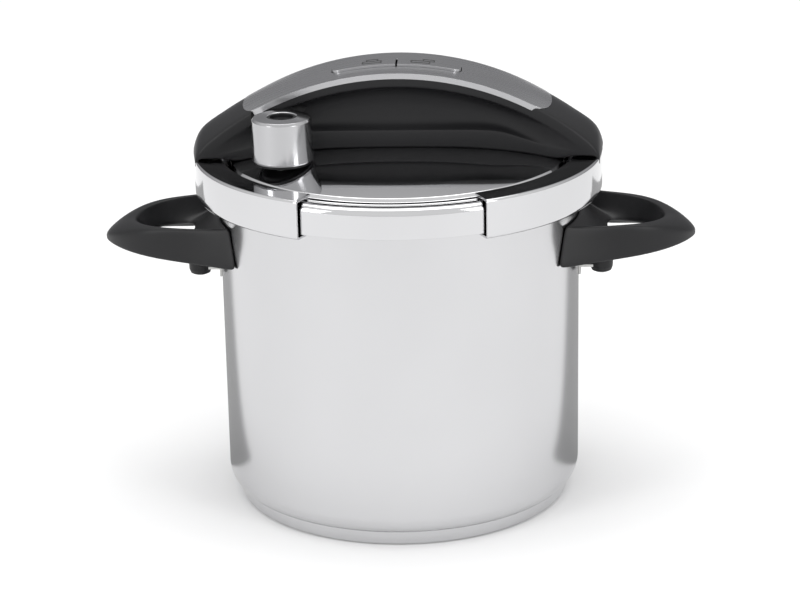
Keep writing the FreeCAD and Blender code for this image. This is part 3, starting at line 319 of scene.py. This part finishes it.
mirror_steel = steel("mirror polished steel", 0.035, (1, 1, 1), depth=0.0, spread=0.02)
over = [(r, dome(r)) for r in range(0, 101, 10)]
under = [(r, dome(r, 0.9)) for r in range(100, -1, -10)]
lid = turned(
    "lid_dome",
    [Vector((*p, 0)) for p in over]
    + rounded(
        (100, dome(100)), (103.2, dome(103.2) + 0.1, 1.2), (105.0, 215.9, 1.0), (107.4, 215.9, 1.0),
        (108.6, 217.2, 1.0), (112.4, 217.2, 0.9), (113.2, 216.3, 0.5), (114.3, 216.3, 0.5),
        (115.0, 217.0, 0.6), (121.8, 217.0, 4.6), (121.8, 198.7, 0.3), (120.9, 198.7),
        (120.9, 216.1, 3.8), (109.7, 216.1), (108.1, 215.1), (104.8, 215.1), (102.8, 216.7),
    )[1:]
    + [Vector((*p, 0)) for p in under],
    steps=192,
)
WINDOW_ANGLE, WINDOW_R = math.radians(-34.5), 106.3
window = start_piece(
    "window_cutter",
    bpy.ops.mesh.primitive_cube_add,
    size=1,
    scale=(2.4 * MM, 8 * MM, 8 * MM),
    rotation=(0, 0, WINDOW_ANGLE),
    location=(
        WINDOW_R * MM * math.cos(WINDOW_ANGLE), WINDOW_R * MM * math.sin(WINDOW_ANGLE), 216 * MM
    ),
)
settle(window)
modify(window, "BEVEL", width=1.0 * MM, segments=3)
cut(lid, window)
smooth(lid)
wear(lid, mirror_steel)
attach(lid, "lid")
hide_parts("lid_shell")

# ---- jaws ----
# Each jaw is a C-section of stainless steel bent round the rim. Its lower lip pulls the pot's
# collar up against the lid, and its flange slides out under the end of the bridge.
JAW_ANGLE = 128


def ease(piece, width, segments=2):
    """Rounds the sharp edges of a piece by a width in millimetres."""
    settings = {"limit_method": "ANGLE", "angle_limit": math.radians(50)}
    modify(piece, "BEVEL", width=width * MM, segments=segments, **settings)


for side, facing in (("right", 0), ("left", 180)):
    jaw = turned(
        "jaw_clamp_" + side,
        rounded(
            (113.6, 195.7), (124.9, 195.7, 2.5), (124.9, 219.6, 1.6), (108.5, 219.6),
            (108.5, 218.1), (123.4, 218.1, 0.8), (123.4, 197.2, 1.0), (113.6, 197.2),
        ),
        steps=96,
        angle=JAW_ANGLE,
        facing=facing,
    )
    ease(jaw, 0.35)
    smooth(jaw)
    wear(jaw, mirror_steel)
    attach(jaw, side + "_jaw")
    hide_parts("jaw_" + side)

# ---- bridge handle ----
# The bridge is moulded in black phenolic plastic: an arch over the lid, scooped out on both
# long faces for the fingers, with crowned ends that lie over the jaws.
ARCH_R, ARCH_Z = 177.5, 95.4
FRONT = 26.7


def arch(x, drop=0.0):
    """Height of the arch at a distance from the middle, drop millimetres further in."""
    return ARCH_Z + math.sqrt((ARCH_R - drop) ** 2 - x * x)


def along(x, *stops):
    """A value that runs smoothly through (x, value) stops, held before and after them."""
    for (x0, v0), (x1, v1) in zip(stops, stops[1:]):
        if x <= x0:
            return v0
        if x < x1:
            return v0 + (v1 - v0) * (x - x0) / (x1 - x0)
    return stops[-1][1]


def lofted(name, rings, closed=False):
    """A skin through rings of points in millimetres: a circle is extruded ring by ring. It
    closes on itself, or has both its ends filled."""
    count = len(rings[0])
    piece = start_piece(name, bpy.ops.mesh.primitive_circle_add, vertices=count, radius=MM)
    open_mesh()
    before = [v.co.copy() for v in bmesh.from_edit_mesh(piece.data).verts]
    for number, ring in enumerate(rings + ([rings[0]] if closed else [])):
        if number:
            bpy.ops.mesh.extrude_region()
        skin = bmesh.from_edit_mesh(piece.data)
        fresh = [v for v in skin.verts if v.select]
        for old, point in zip(before, ring):
            nearest = min(fresh, key=lambda v: (v.co - old).length_squared)
            nearest.co = Vector(point) * MM
            fresh.remove(nearest)
        bmesh.update_edit_mesh(piece.data)
        before = [Vector(point) * MM for point in ring]
    bpy.ops.mesh.select_all(action="SELECT")
    if closed:
        bpy.ops.mesh.remove_doubles(threshold=2e-6)
    else:
        bpy.ops.mesh.fill_holes(sides=0)
    bpy.ops.object.mode_set(mode="OBJECT")
    return face_out(piece)


# The bridge's body ends and its round end begins at BODY_END. CROWN is how far the middle line
# stands above the long edges, at distances along X.
BODY_END, END_R = 107, 125.5
CROWN = ((40, 0), (70, 1.5), (94, 4.0), (107, 5.5), (123, 6.8))


def bridge_foot(x, y):
    """Underside of the bridge: on the dome, then clear of the jaw flanges."""
    rests = [(radius, dome(radius) - 0.5) for radius in (0, 50, 80, 102)]
    return along(math.hypot(x, y), *rests, (BODY_END, 220.6))


def bridge_ring(station, end=0.0):
    """Section of the bridge at a station along X; end runs from 0 to 1 over its rounded end."""
    x, side = abs(station), math.copysign(1, station)
    edge = arch(x) - 0.25
    crown = along(x, *CROWN)
    edge -= along(end, (0.72, 0), (0.9, 1.2), (1.0, 4.0))
    crown -= along(end, (0.72, 0), (0.9, 1.2), (1.0, 3.4))
    depth = along(x, (50, 9.0), (62, 8.0), (72, 6.2), (82, 4.0), (92, 1.8), (102, 0.5), (107, 0.0))
    ledge = along(
        x, (50, 237.6), (60, 237.2), (67, 235.5), (73, 233.2), (85, 229.0), (97, 225.6),
        (107, 223.8), (118, 222.6),
    )
    crease = max(arch(x) - 8.2, ledge + 1.6)
    crease = min(crease, edge - 2.4)
    ledge = min(ledge, crease - 1.2)
    drop = crease - ledge
    half = [
        (0, edge + crown),
        (10, edge + crown * 0.86),
        (19, edge + crown * 0.50),
        (25.2, edge + crown * 0.13),
        (FRONT, edge - 1.0),
        (FRONT, crease + 0.8),
        (FRONT - 0.02 * depth, crease),
        (FRONT - 0.36 * depth, crease - 0.05 * drop),
        (FRONT - 0.85 * depth, crease - 0.24 * drop),
        (FRONT - depth, crease - 0.52 * drop),
        (FRONT - 0.90 * depth, crease - 0.80 * drop),
        (FRONT - 0.50 * depth, ledge + 0.06 * drop),
        (FRONT - 0.08 * depth, ledge),
        (FRONT, ledge - 0.8),
        (FRONT, None),
        (20, None),
        (0, None),
    ]
    ring = []
    for mirror in (-1, 1):
        row = half if mirror < 0 else half[-2:0:-1]
        for y, z in row:
            far = x
            if end:
                far = BODY_END + end * (math.sqrt(END_R**2 - y * y) - BODY_END)
            z = bridge_foot(far, y) if z is None else z
            ring.append((side * far, mirror * y, z))
    return ring


STATIONS = (0, 14, 28, 42, 54, 64, 72, 79, 86, 93, 100, BODY_END)
ENDS = (0.35, 0.62, 0.80, 0.92, 1.0)
half_rings = [bridge_ring(x + 1e-6) for x in STATIONS[1:]]
for share in ENDS:
    half_rings.append(bridge_ring(BODY_END + share * 16, share))
last = half_rings[-1]
middle = sum((Vector(p) for p in last), Vector()) / len(last)
for share in (0.25, 0.7):
    half_rings.append([Vector(p).lerp(Vector((p[0], middle.y, middle.z)), share) for p in last])
mirrored = [[(-p[0], p[1], p[2]) for p in ring] for ring in reversed(half_rings)]
bridge = lofted("bridge_arch", mirrored + [bridge_ring(0.0)] + half_rings)
modify(bridge, "SUBSURF", levels=2, render_levels=2)

# The cavity under the arch holds the mechanism, and opens above for the two buttons.
CAVITY_X, CAVITY_Y, CAVITY_FOOT, ROOF_THICK = 112, 15.0, 210.0, 5.5
roof = [(x, arch(x, ROOF_THICK)) for x in range(-CAVITY_X, CAVITY_X + 1, 14)]
below = [(x, CAVITY_FOOT) for x in range(CAVITY_X, -CAVITY_X - 1, -14)]
cavity = lofted(
    "cavity_cutter", [[(x, y, z) for x, z in roof + below] for y in (-CAVITY_Y, CAVITY_Y)]
)
cut(bridge, cavity)
for side in (1, -1):
    slot = start_piece(
        "arm_slot_cutter", bpy.ops.mesh.primitive_cube_add, size=1,
        scale=(20 * MM, 24 * MM, 12 * MM), location=(side * 120 * MM, 0, 216.4 * MM),
    )
    cut(bridge, settle(slot))


WELL_LONG, WELL_WIDE, WELL_CORNER = 79, 19, 6


def button_well():
    """A tall block with round corners, for the opening that the buttons stand in."""
    block = start_piece(
        "well_cutter", bpy.ops.mesh.primitive_cube_add, size=1,
        scale=(WELL_LONG * MM, WELL_WIDE * MM, 30 * MM), location=(0, 0, 270 * MM),
    )
    settle(block)
    bpy.ops.object.mode_set(mode="EDIT")
    bpy.ops.mesh.select_all(action="DESELECT")
    for edge in bmesh.from_edit_mesh(block.data).edges:
        first, second = edge.verts
        edge.select_set(abs(first.co.z - second.co.z) > 10 * MM)
    bpy.ops.mesh.bevel(offset=WELL_CORNER * MM, segments=6)
    bpy.ops.object.mode_set(mode="OBJECT")
    return block


cut(bridge, button_well())
# The niche beside the valve knob leaves room for two fingers to turn it.
KNOB_X, KNOB_Y = -67.0, -47.0
niche = start_piece(
    "niche_cutter", bpy.ops.mesh.primitive_cone_add, vertices=96,
    radius1=19.5 * MM, radius2=26.5 * MM, depth=29 * MM,
    location=(KNOB_X * MM, (KNOB_Y + 5) * MM, 237.5 * MM),
)
settle(niche)
modify(niche, "BEVEL", width=2.5 * MM, segments=4)
cut(bridge, niche)
smooth(bridge, 32)

black_plastic = Finish("black phenolic plastic", Metallic=0.0, Specular_IOR_Level=0.3)
grain = black_plastic.noise(1500, detail=4.0)
flow = black_plastic.noise(22, (0.5, 1, 1), 2.0)
black_plastic.feed(
    Base_Color=black_plastic.blend(flow, (0.007, 0.007, 0.008, 1), (0.011, 0.011, 0.012, 1)),
    Roughness=0.33 + 0.08 * grain + 0.07 * flow,
)
black_plastic = black_plastic.relief(grain, 0.012).material
wear(bridge, black_plastic)
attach(bridge, "lid")
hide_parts("bridge_body")

# ---- top plate ----
# A strip of brushed steel is pressed to the arch, folded down along both long edges and
# glued on the bridge. Towards its round ends it is crowned, as the bridge under it is.
TIP_CORNER, TIP_BULGE, PLATE_Y, LIP = 82.0, 12.0, 27.0, 3.4


def shape(piece, move):
    """Moves every point of the piece, given and returned in millimetres."""
    bpy.ops.object.mode_set(mode="EDIT")
    skin = bmesh.from_edit_mesh(piece.data)
    for vertex in skin.verts:
        vertex.co = Vector(move(vertex.co / MM)) * MM
    bmesh.update_edit_mesh(piece.data)
    bpy.ops.object.mode_set(mode="OBJECT")


def select_rim(piece):
    """Selects the open boundary of a mesh in edit mode."""
    bpy.ops.mesh.select_mode(type="EDGE")
    bpy.ops.mesh.select_all(action="DESELECT")
    bpy.ops.mesh.select_non_manifold(
        extend=False, use_wire=False, use_boundary=True, use_multi_face=False,
        use_non_contiguous=False, use_verts=False,
    )


def plate_point(p):
    """A point of the flat blank, 2 by 2 mm, moved on to the arch."""
    y = p.y * PLATE_Y
    x = p.x * (TIP_CORNER + TIP_BULGE * math.sqrt(max(0.0, 1 - abs(p.y) ** 2.6)))
    return x, y, arch(x) + along(abs(x), *CROWN) * (1 - p.y**2)


plate = start_piece(
    "cover_plate", bpy.ops.mesh.primitive_grid_add,
    x_subdivisions=110, y_subdivisions=36, size=2 * MM,
)
shape(plate, plate_point)
bpy.ops.object.mode_set(mode="EDIT")
select_rim(plate)
bpy.ops.mesh.extrude_region_move()
fold = 1 - LIP / ARCH_R
bpy.ops.transform.resize(value=(fold, 1, fold), center_override=(0, 0, ARCH_Z * MM))
bpy.ops.object.mode_set(mode="OBJECT")
modify(plate, "SOLIDIFY", thickness=0.9 * MM, offset=-1, use_even_offset=True)
cut(plate, button_well())
ease(plate, 0.45, 3)
smooth(plate, 40)
plate_steel = steel(
    "brushed cover steel", 0.22, (0.15, 24, 0.5), (0.48, 0.48, 0.49, 1), spread=0.08
)
wear(plate, plate_steel)
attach(plate, "lid")
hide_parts("top_plate")

# ---- buttons ----
# The two buttons are steel-faced caps that stand a little proud of the plate, one on each side
# of the middle. Each has a padlock pictogram etched in its face and a stem underneath.
CAP_ARCH = ARCH_R + 1.4
CAP_NEAR, CAP_FAR, CAP_Y, CAP_CORNER = 0.6, 39.0, 9.0, 5.5
CAP_FOOT, STEM_X = 264.0, 19.0


def cap_arch(x):
    """Height of a button's face at a distance from the middle."""
    return ARCH_Z + math.sqrt(CAP_ARCH**2 - x * x)


def line_block(name, x0, x1, y0, y1, width):
    """A flat rectangular frame of lines, drawn by an inset, on the button's face."""
    block = start_piece(
        name, bpy.ops.mesh.primitive_plane_add, size=1,
        scale=((x1 - x0) * MM, (y1 - y0) * MM, 1),
        location=((x0 + x1) / 2 * MM, (y0 + y1) / 2 * MM, 0),
    )
    settle(block)
    open_mesh()
    bpy.ops.mesh.inset(thickness=width * MM)
    bpy.ops.mesh.delete(type="FACE")
    bpy.ops.mesh.select_all(action="SELECT")
    bpy.ops.mesh.subdivide(number_cuts=3)
    bpy.ops.object.mode_set(mode="OBJECT")
    return block


def cap_point(p, side):
    """A point of the flat blank, 2 by 2 mm, moved to the face of the button on one side."""
    x = CAP_NEAR + (CAP_FAR - CAP_NEAR) * (p.x + 1) / 2
    past = max(0.0, x - (CAP_FAR - CAP_CORNER))
    half = CAP_Y - CAP_CORNER + math.sqrt(CAP_CORNER**2 - past**2)
    return side * x, p.y * half, cap_arch(x)


etch = Finish("etched black line", Metallic=0.0, Roughness=0.6)
speck = etch.noise(900)
etch.feed(Base_Color=etch.blend(speck, (0.02, 0.02, 0.02, 1), (0.045, 0.045, 0.045, 1)))
etch = etch.material
for name, node, body, side, middle_x, shift in (
    ("unlock_cap", "unlock_button", "unlock_key", 1, 14.5, 5.0),
    ("lock_cap", "lock_button", "lock_key", -1, -15.0, 0.0),
):
    cap = start_piece(
        name, bpy.ops.mesh.primitive_grid_add, x_subdivisions=44, y_subdivisions=20, size=2 * MM
    )
    shape(cap, lambda p: cap_point(p, side))
    bpy.ops.object.mode_set(mode="EDIT")
    select_rim(cap)
    bpy.ops.mesh.extrude_region_move(TRANSFORM_OT_translate={"value": (0, 0, -8 * MM)})
    bpy.ops.transform.resize(value=(1, 1, 0), center_override=(0, 0, CAP_FOOT * MM))
    bpy.ops.mesh.edge_face_add()
    bpy.ops.object.mode_set(mode="OBJECT")
    face_out(cap)
    ease(cap, 0.7, 3)
    stem_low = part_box(node)[0].z
    stem = start_piece(
        "stem", bpy.ops.mesh.primitive_cube_add, size=1,
        scale=(8 * MM, 5 * MM, (CAP_FOOT + 0.5) * MM - stem_low),
        location=(side * STEM_X * MM, 0, ((CAP_FOOT + 0.5) * MM + stem_low) / 2),
    )
    settle(stem)
    cap.select_set(True)
    bpy.context.view_layer.objects.active = cap
    bpy.ops.object.join()
    smooth(cap, 40)
    wear(cap, plate_steel)
    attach(cap, body)
    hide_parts(node)

    # the padlock: a body outline and a shackle, which stands aside on the unlock button
    lock = line_block(name + "_padlock", middle_x - 6.0, middle_x + 6.0, -3.8, 1.6, 0.8)
    shackle = line_block("shackle", middle_x + shift - 3.7, middle_x + shift + 3.7, 0.8, 5.6, 0.8)
    lock.select_set(True)
    bpy.context.view_layer.objects.active = lock
    bpy.ops.object.join()
    shape(lock, lambda p: (p.x, p.y, cap_arch(p.x) + 0.12))
    modify(lock, "SOLIDIFY", thickness=0.25 * MM, offset=-1)
    wear(lock, etch)
    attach(lock, body)

# ---- valve knob ----
# The knob is a turned steel sleeve over a black plastic core, with a plastic skirt below and a
# lining in the hole in its top. It is turned by hand to let the steam out through that hole.
knob_steel = steel("turned knob steel", 0.12, (1, 1, 30), (0.50, 0.50, 0.51, 1), spread=0.06)
knob = turned(
    "knob_sleeve",
    rounded(
        (16.3, 226.0), (17.8, 226.0, 0.5), (18.5, 227.0, 0.6), (18.0, 250.8, 0.6),
        (16.9, 252.2, 0.5), (9.2, 252.8, 0.5), (8.5, 252.0, 0.3), (8.5, 250.2), (16.3, 250.2),
    ),
    steps=96,
    centre=(KNOB_X, KNOB_Y),
)
smooth(knob)
wear(knob, knob_steel)
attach(knob, "knob")
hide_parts("valve_knob")
TRIMS = {
    "knob_skirt": (
        (15.4, 224.3), (16.9, 224.3, 0.5), (16.9, 226.3), (16.2, 226.3), (16.2, 228), (15.4, 228)
    ),
    "knob_lining": ((7.0, 249.2), (8.6, 249.2), (8.6, 252.5, 0.3), (7.0, 252.5, 0.4)),
}
for name, ring in TRIMS.items():
    trim = turned(name, rounded(*ring), steps=96, centre=(KNOB_X, KNOB_Y))
    smooth(trim)
    wear(trim, black_plastic)
    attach(trim, "knob")

# ---- side handles ----
# Each side handle is a moulded loop of black phenolic plastic with a tall outer face and a
# top that falls inwards to the finger hole. One screw from below holds it on its bracket.
LOOP = (
    # in plan: top and foot of the outer face, ridge, hole edge; then heights: top, ridge, foot
    ((111.1, 0), (111.1, 0), (113.6, 0), (129.2, 0), 181.4, 181.8, 158.0),
    ((110.1, 15), (109.8, 17), (112.6, 14), (129.2, 9), 181.4, 181.8, 158.0),
    ((107.0, 30), (105.8, 34), (109.8, 28), (129.4, 16), 181.6, 182.0, 158.0),
    ((103.7, 40), (101.1, 46), (106.6, 37.5), (130.6, 20.2), 181.8, 182.2, 158.0),
    ((101.1, 46), (97.6, 53), (104.5, 43.5), (132.4, 22.2), 182.0, 182.3, 158.0),
    ((100.4, 47.9), (96.8, 55.2), (104.8, 45.2), (133.6, 23.0), 182.0, 182.2, 158.0),
    ((105.0, 46), (101.5, 53), (107.5, 43), (135.2, 23.6), 181.4, 181.6, 158.0),
    ((114.0, 42.7), (112.0, 47.5), (115.5, 39.5), (137.5, 24.0), 180.4, 180.8, 158.0),
    ((127.0, 39), (126.0, 40.5), (127.5, 35.8), (140.5, 24.0), 179.6, 179.9, 158.0),
    ((140.0, 36.2), (140.0, 37), (138.6, 32.4), (144.5, 23.0), 179.4, 179.6, 159.0),
    ((152.0, 33.2), (152.0, 33.2), (149.2, 27.4), (149.5, 20.0), 178.4, 179.2, 160.0),
    ((163.0, 27.6), (163.0, 27.6), (157.0, 20.0), (154.0, 14.0), 176.6, 178.6, 161.0),
    ((173.5, 18.8), (173.5, 18.8), (161.6, 11.5), (156.6, 8), 172.4, 178.0, 162.0),
    ((181.0, 8.4), (181.0, 8.4), (163.4, 5.4), (157.8, 4), 168.4, 177.6, 163.2),
    ((183.4, 0), (183.4, 0), (163.9, 0), (158.2, 0), 166.8, 177.4, 163.6),
)
HOLE_Z = 165.4


def loop_ring(station, mirror):
    """Section of a handle at one station, from the foot of the outer face round the hole."""
    top, ridge_z, foot_z = station[4:]
    outer, foot, ridge, hole = (Vector((p[0], mirror * p[1], 0)) for p in station[:4])
    face = top - foot_z
    spots = (
        (foot.lerp(hole, 0.02), foot_z + 0.06 * face),
        (foot.lerp(outer, 0.12), foot_z + 0.16 * face),
        (foot.lerp(outer, 0.5), foot_z + 0.5 * face),
        (foot.lerp(outer, 0.96), top - 0.06 * face),
        (outer.lerp(ridge, 0.25), top + 0.42 * (ridge_z - top)),
        (outer.lerp(ridge, 0.62), top + 0.80 * (ridge_z - top) + 0.3),
        (ridge, ridge_z - 0.2),
        (ridge.lerp(hole, 0.10), ridge_z - 2.2),
        (ridge.lerp(hole, 0.62), HOLE_Z + 4.6),
        (hole, HOLE_Z + 0.9),
        (hole, HOLE_Z - 1.2),
        (hole.lerp(foot, 0.30), HOLE_Z - 2.6),
        (hole.lerp(foot, 0.62), min(foot_z + 1.6, HOLE_Z - 2.8)),
        (foot.lerp(hole, 0.10), foot_z),
    )
    return [(p.x, p.y, z) for p, z in spots]


plain_steel = steel("zinc plated steel", 0.30, (1, 1, 1), (0.52, 0.52, 0.51, 1), 0.004, 0.10)
BOSS_X = 125.0
BRACKET_R, BRACKET_SHEET, BRACKET_ANGLE = 110.8, 1.5, 12.3
BRACKET_FOOT, BRACKET_HEAD = 141.0, 175.0
LEG_FOOT, LEG_HEAD, LEG_WIDE = 143.2, 145.0, 9.0
LEG_START, LEG_END = BRACKET_R + 0.8, BOSS_X + 4.0
for side, turn in (("right", 0), ("left", math.pi)):
    rings = [loop_ring(s, 1) for s in LOOP] + [loop_ring(s, -1) for s in LOOP[-2:0:-1]]
    grip = lofted("grip_" + side, rings, closed=True)
    modify(grip, "SUBSURF", levels=2, render_levels=2)
    boss = turned(
        "boss",
        rounded((4.8, 140.4), (6.0, 140.4, 0.6), (7.0, 143, 1.2), (7.6, 160), (4.8, 160)),
        steps=40,
        centre=(BOSS_X, 0),
    )
    boss.select_set(True)
    grip.select_set(True)
    bpy.context.view_layer.objects.active = grip
    bpy.ops.object.join()
    bpy.ops.transform.rotate(value=turn, orient_axis="Z", center_override=(0, 0, 0))
    settle(grip)
    smooth(grip, 50)
    wear(grip, black_plastic)
    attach(grip, "vessel")
    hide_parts("handle_" + side)

    # the bracket is a strip spot-welded on the pot, with a narrow leg bent out to the boss
    bracket = turned(
        "bracket_" + side,
        rounded(
            (BRACKET_R, BRACKET_FOOT), (BRACKET_R + BRACKET_SHEET, BRACKET_FOOT),
            (BRACKET_R + BRACKET_SHEET, BRACKET_HEAD), (BRACKET_R, BRACKET_HEAD),
        ),
        steps=24,
        angle=BRACKET_ANGLE,
    )
    leg = start_piece(
        "leg", bpy.ops.mesh.primitive_cube_add, size=1,
        scale=((LEG_END - LEG_START) * MM, LEG_WIDE * MM, (LEG_HEAD - LEG_FOOT) * MM),
        location=((LEG_END + LEG_START) / 2 * MM, 0, (LEG_HEAD + LEG_FOOT) / 2 * MM),
    )
    settle(leg)
    bracket.select_set(True)
    bpy.context.view_layer.objects.active = bracket
    bpy.ops.object.join()
    bpy.ops.transform.rotate(value=turn, orient_axis="Z", center_override=(0, 0, 0))
    settle(bracket)
    ease(bracket, 0.3)
    smooth(bracket)
    wear(bracket, plain_steel)
    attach(bracket, "vessel")
    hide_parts("handle_bracket_" + side)

# ---- springs ----
# Four coil springs of bright wire work inside: one on each jaw arm, one in the knob and one in
# the safety valve. In the cooker each stands on a fixed seat and is pressed shorter by the part
# that moves; here each coil is wound to fill its part's box and goes with the body holding it.
spring_steel = steel("spring wire", 0.22, (1, 1, 1), (0.42, 0.42, 0.43, 1), 0.002)


def coil(name, low, high, axis, pitch, wire):
    """A coil of round wire that fills the box from low to high, in millimetres, along an axis."""
    climb = high[axis] - low[axis] - wire
    steps = 20 * max(3, round(climb / pitch))
    middle = (low + high) / 2
    across = [i for i in range(3) if i != axis]
    radius = (high[across[0]] - low[across[0]] - wire) / 2
    spokes = [2 * math.pi * k / 8 for k in range(8)]
    rise = Vector((0, 0, 0))
    rise[axis] = 1
    rings = []
    for step in range(steps + 1):
        angle = 2 * math.pi * step / 20
        out = Vector((0, 0, 0))
        out[across[0]], out[across[1]] = math.cos(angle), math.sin(angle)
        place = middle + out * radius
        place[axis] = low[axis] + wire / 2 + climb * step / steps
        rings.append([place + (out * math.cos(a) + rise * math.sin(a)) * wire / 2 for a in spokes])
    return lofted(name, rings)


# pitch and wire of the springs that lie along X, on the jaw arms, and of those that stand
WINDINGS = {"x": (2.4, 1.0), "z": (1.6, 0.8)}
behaviour = frame["record"]["behaviour"]
for joint in behaviour["joints"]:
    for entry in joint.get("deforming_nodes", []):
        node, letter = entry["node"], entry["mode"][-1]
        axis = "xyz".index(letter)
        low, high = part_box(node)
        spring = coil(node + "_coil", low / MM, high / MM, axis, *WINDINGS[letter])
        smooth(spring)
        wear(spring, spring_steel)
        seat, lengthwise = (low + high) / 2, Vector((0, 0, 0))
        seat[axis], lengthwise[axis] = entry[f"fixed_end_{letter}_m"], 1
        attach(spring, next(b for b, names in behaviour["bodies"].items() if node in names))
        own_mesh(spring)
        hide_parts(node)

# ---- carried-over parts ----
# What the frame already shapes well keeps its own mesh: screws, seal, nuts, valves, and
# the mechanism inside the bridge. Each gets the finish of its real metal, rubber or plastic.
aluminium = steel("pressed aluminium", 0.34, (1, 1, 20), (0.66, 0.66, 0.67, 1), 0.006, 0.10)

silicone = Finish("grey silicone rubber", Metallic=0.0, Roughness=0.55)
bloom = silicone.noise(300)
silicone.feed(Base_Color=silicone.blend(bloom, (0.20, 0.20, 0.20, 1), (0.27, 0.27, 0.27, 1)))
silicone = silicone.relief(bloom, 0.01).material
red = Finish("red indicator plastic", Metallic=0.0, Roughness=0.4)
streak = red.noise(400)
red.feed(Base_Color=red.blend(streak, (0.38, 0.012, 0.010, 1), (0.48, 0.018, 0.014, 1)))
red = red.material

FINISHES = {
    "pot_steel": pot_steel,
    "lid_steel": mirror_steel,
    "jaw_steel": mirror_steel,
    "knob_steel": knob_steel,
    "satin_steel": plate_steel,
    "black_plastic": black_plastic,
    "plain_steel": plain_steel,
    "spring_steel": spring_steel,
    "base_aluminium": aluminium,
    "silicone": silicone,
    "indicator_red": red,
}
for part in frame["record"]["subparts"]:
    for slot in nodes[part["node"]].material_slots:
        slot.material = FINISHES[part["material_slot"]]

# ---- floor, light and camera ----
# A plain white table in a light tent: bright in front and above, darker low down behind, with
# one soft box on each side of the camera and one overhead.
floor = start_piece("floor", bpy.ops.mesh.primitive_plane_add, size=14, location=(0, 0, -0.0002))
paper = Finish("white paper", Roughness=0.9)
fleck = paper.noise(3)
paper.feed(Base_Color=paper.blend(fleck, (0.90, 0.90, 0.90, 1), (0.92, 0.92, 0.92, 1)))
floor.data.materials.append(paper.material)

world = bpy.data.worlds.new("light tent")
bpy.context.scene.world = world
world.use_nodes = True
tree = world.node_tree
ramp = tree.nodes.new("ShaderNodeValToRGB")
ramp.color_ramp.elements[0].color = (1, 1, 1, 1)
ramp.color_ramp.elements[0].position = 0.25
ramp.color_ramp.elements[1].color = (0.30, 0.30, 0.31, 1)
ramp.color_ramp.elements[1].position = 0.85
direction = tree.nodes.new("ShaderNodeTexCoord")
apart = tree.nodes.new("ShaderNodeSeparateXYZ")
lean = tree.nodes.new("ShaderNodeMath")
lean.operation = "MULTIPLY_ADD"
lean.inputs[1].default_value = -0.8
spread = tree.nodes.new("ShaderNodeMapRange")
spread.inputs["From Min"].default_value = -1
tree.links.new(direction.outputs["Generated"], apart.inputs[0])
tree.links.new(apart.outputs["Z"], lean.inputs[0])
tree.links.new(apart.outputs["Y"], lean.inputs[2])
tree.links.new(lean.outputs[0], spread.inputs["Value"])
tree.links.new(spread.outputs[0], ramp.inputs[0])
tree.links.new(ramp.outputs[0], tree.nodes["Background"].inputs["Color"])
tree.nodes["Background"].inputs["Strength"].default_value = 0.95


def soft_box(name, place, width, height, power):
    """A square soft box that faces the middle of the object."""
    bpy.ops.object.light_add(type="AREA", location=place)
    box = bpy.context.object
    box.name = name
    box.data.shape = "RECTANGLE"
    box.data.size, box.data.size_y = width, height
    box.data.energy = power
    box.rotation_euler = (Vector((0, 0, 0.15)) - Vector(place)).to_track_quat("-Z", "Y").to_euler()


soft_box("box_left", (-1.9, -1.7, 1.1), 0.7, 1.6, 14)
soft_box("box_right", (1.9, -1.7, 1.1), 0.7, 1.6, 14)
soft_box("box_top", (0, 0.3, 2.6), 2.4, 1.6, 30)

# Four grey cards lie on the table behind the object. Only reflections see them: they give the
# steel of the pot and of the jaws its darker edges.
card_grey = Finish("grey card", Roughness=1.0)
fibre = card_grey.noise(40)
card_grey.feed(Base_Color=card_grey.blend(fibre, (0.32, 0.32, 0.32, 1), (0.38, 0.38, 0.38, 1)))
# how far across, how far behind, length and width in metres, and how far turned in degrees
CARDS = ((0.248, 0.316, 0.62, 0.30, 52), (0.31, 0.53, 0.46, 0.22, -25))
for side in (1, -1):
    for across, behind, length, width, aim in CARDS:
        card = start_piece(
            "card", bpy.ops.mesh.primitive_plane_add, size=1, scale=(length, width, 1),
            rotation=(0, 0, side * math.radians(aim)), location=(side * across, behind, 0.0006),
        )
        settle(card)
        card.data.materials.append(card_grey.material)
        card.visible_camera = card.visible_shadow = card.visible_diffuse = False

AZIMUTH, DOWN, ROLL = math.radians(2.3), math.radians(19.62), math.radians(-1.107)
AIM, DISTANCE = Vector((0, 0, 0.1007)), 1.6274
camera_data = bpy.data.cameras.new("camera")
camera_data.lens = 116.5
camera_data.shift_x, camera_data.shift_y = -0.0022, 0.0379
camera = bpy.data.objects.new("camera", camera_data)
bpy.context.scene.collection.objects.link(camera)
turn = (
    Matrix.Rotation(AZIMUTH, 4, "Z")
    @ Matrix.Rotation(math.pi / 2 - DOWN, 4, "X")
    @ Matrix.Rotation(ROLL, 4, "Z")
)
camera.rotation_euler = turn.to_euler()
camera.location = AIM + turn.to_3x3() @ Vector((0, 0, DISTANCE))
bpy.context.scene.camera = camera
bpy.context.scene.view_settings.view_transform = "Standard"
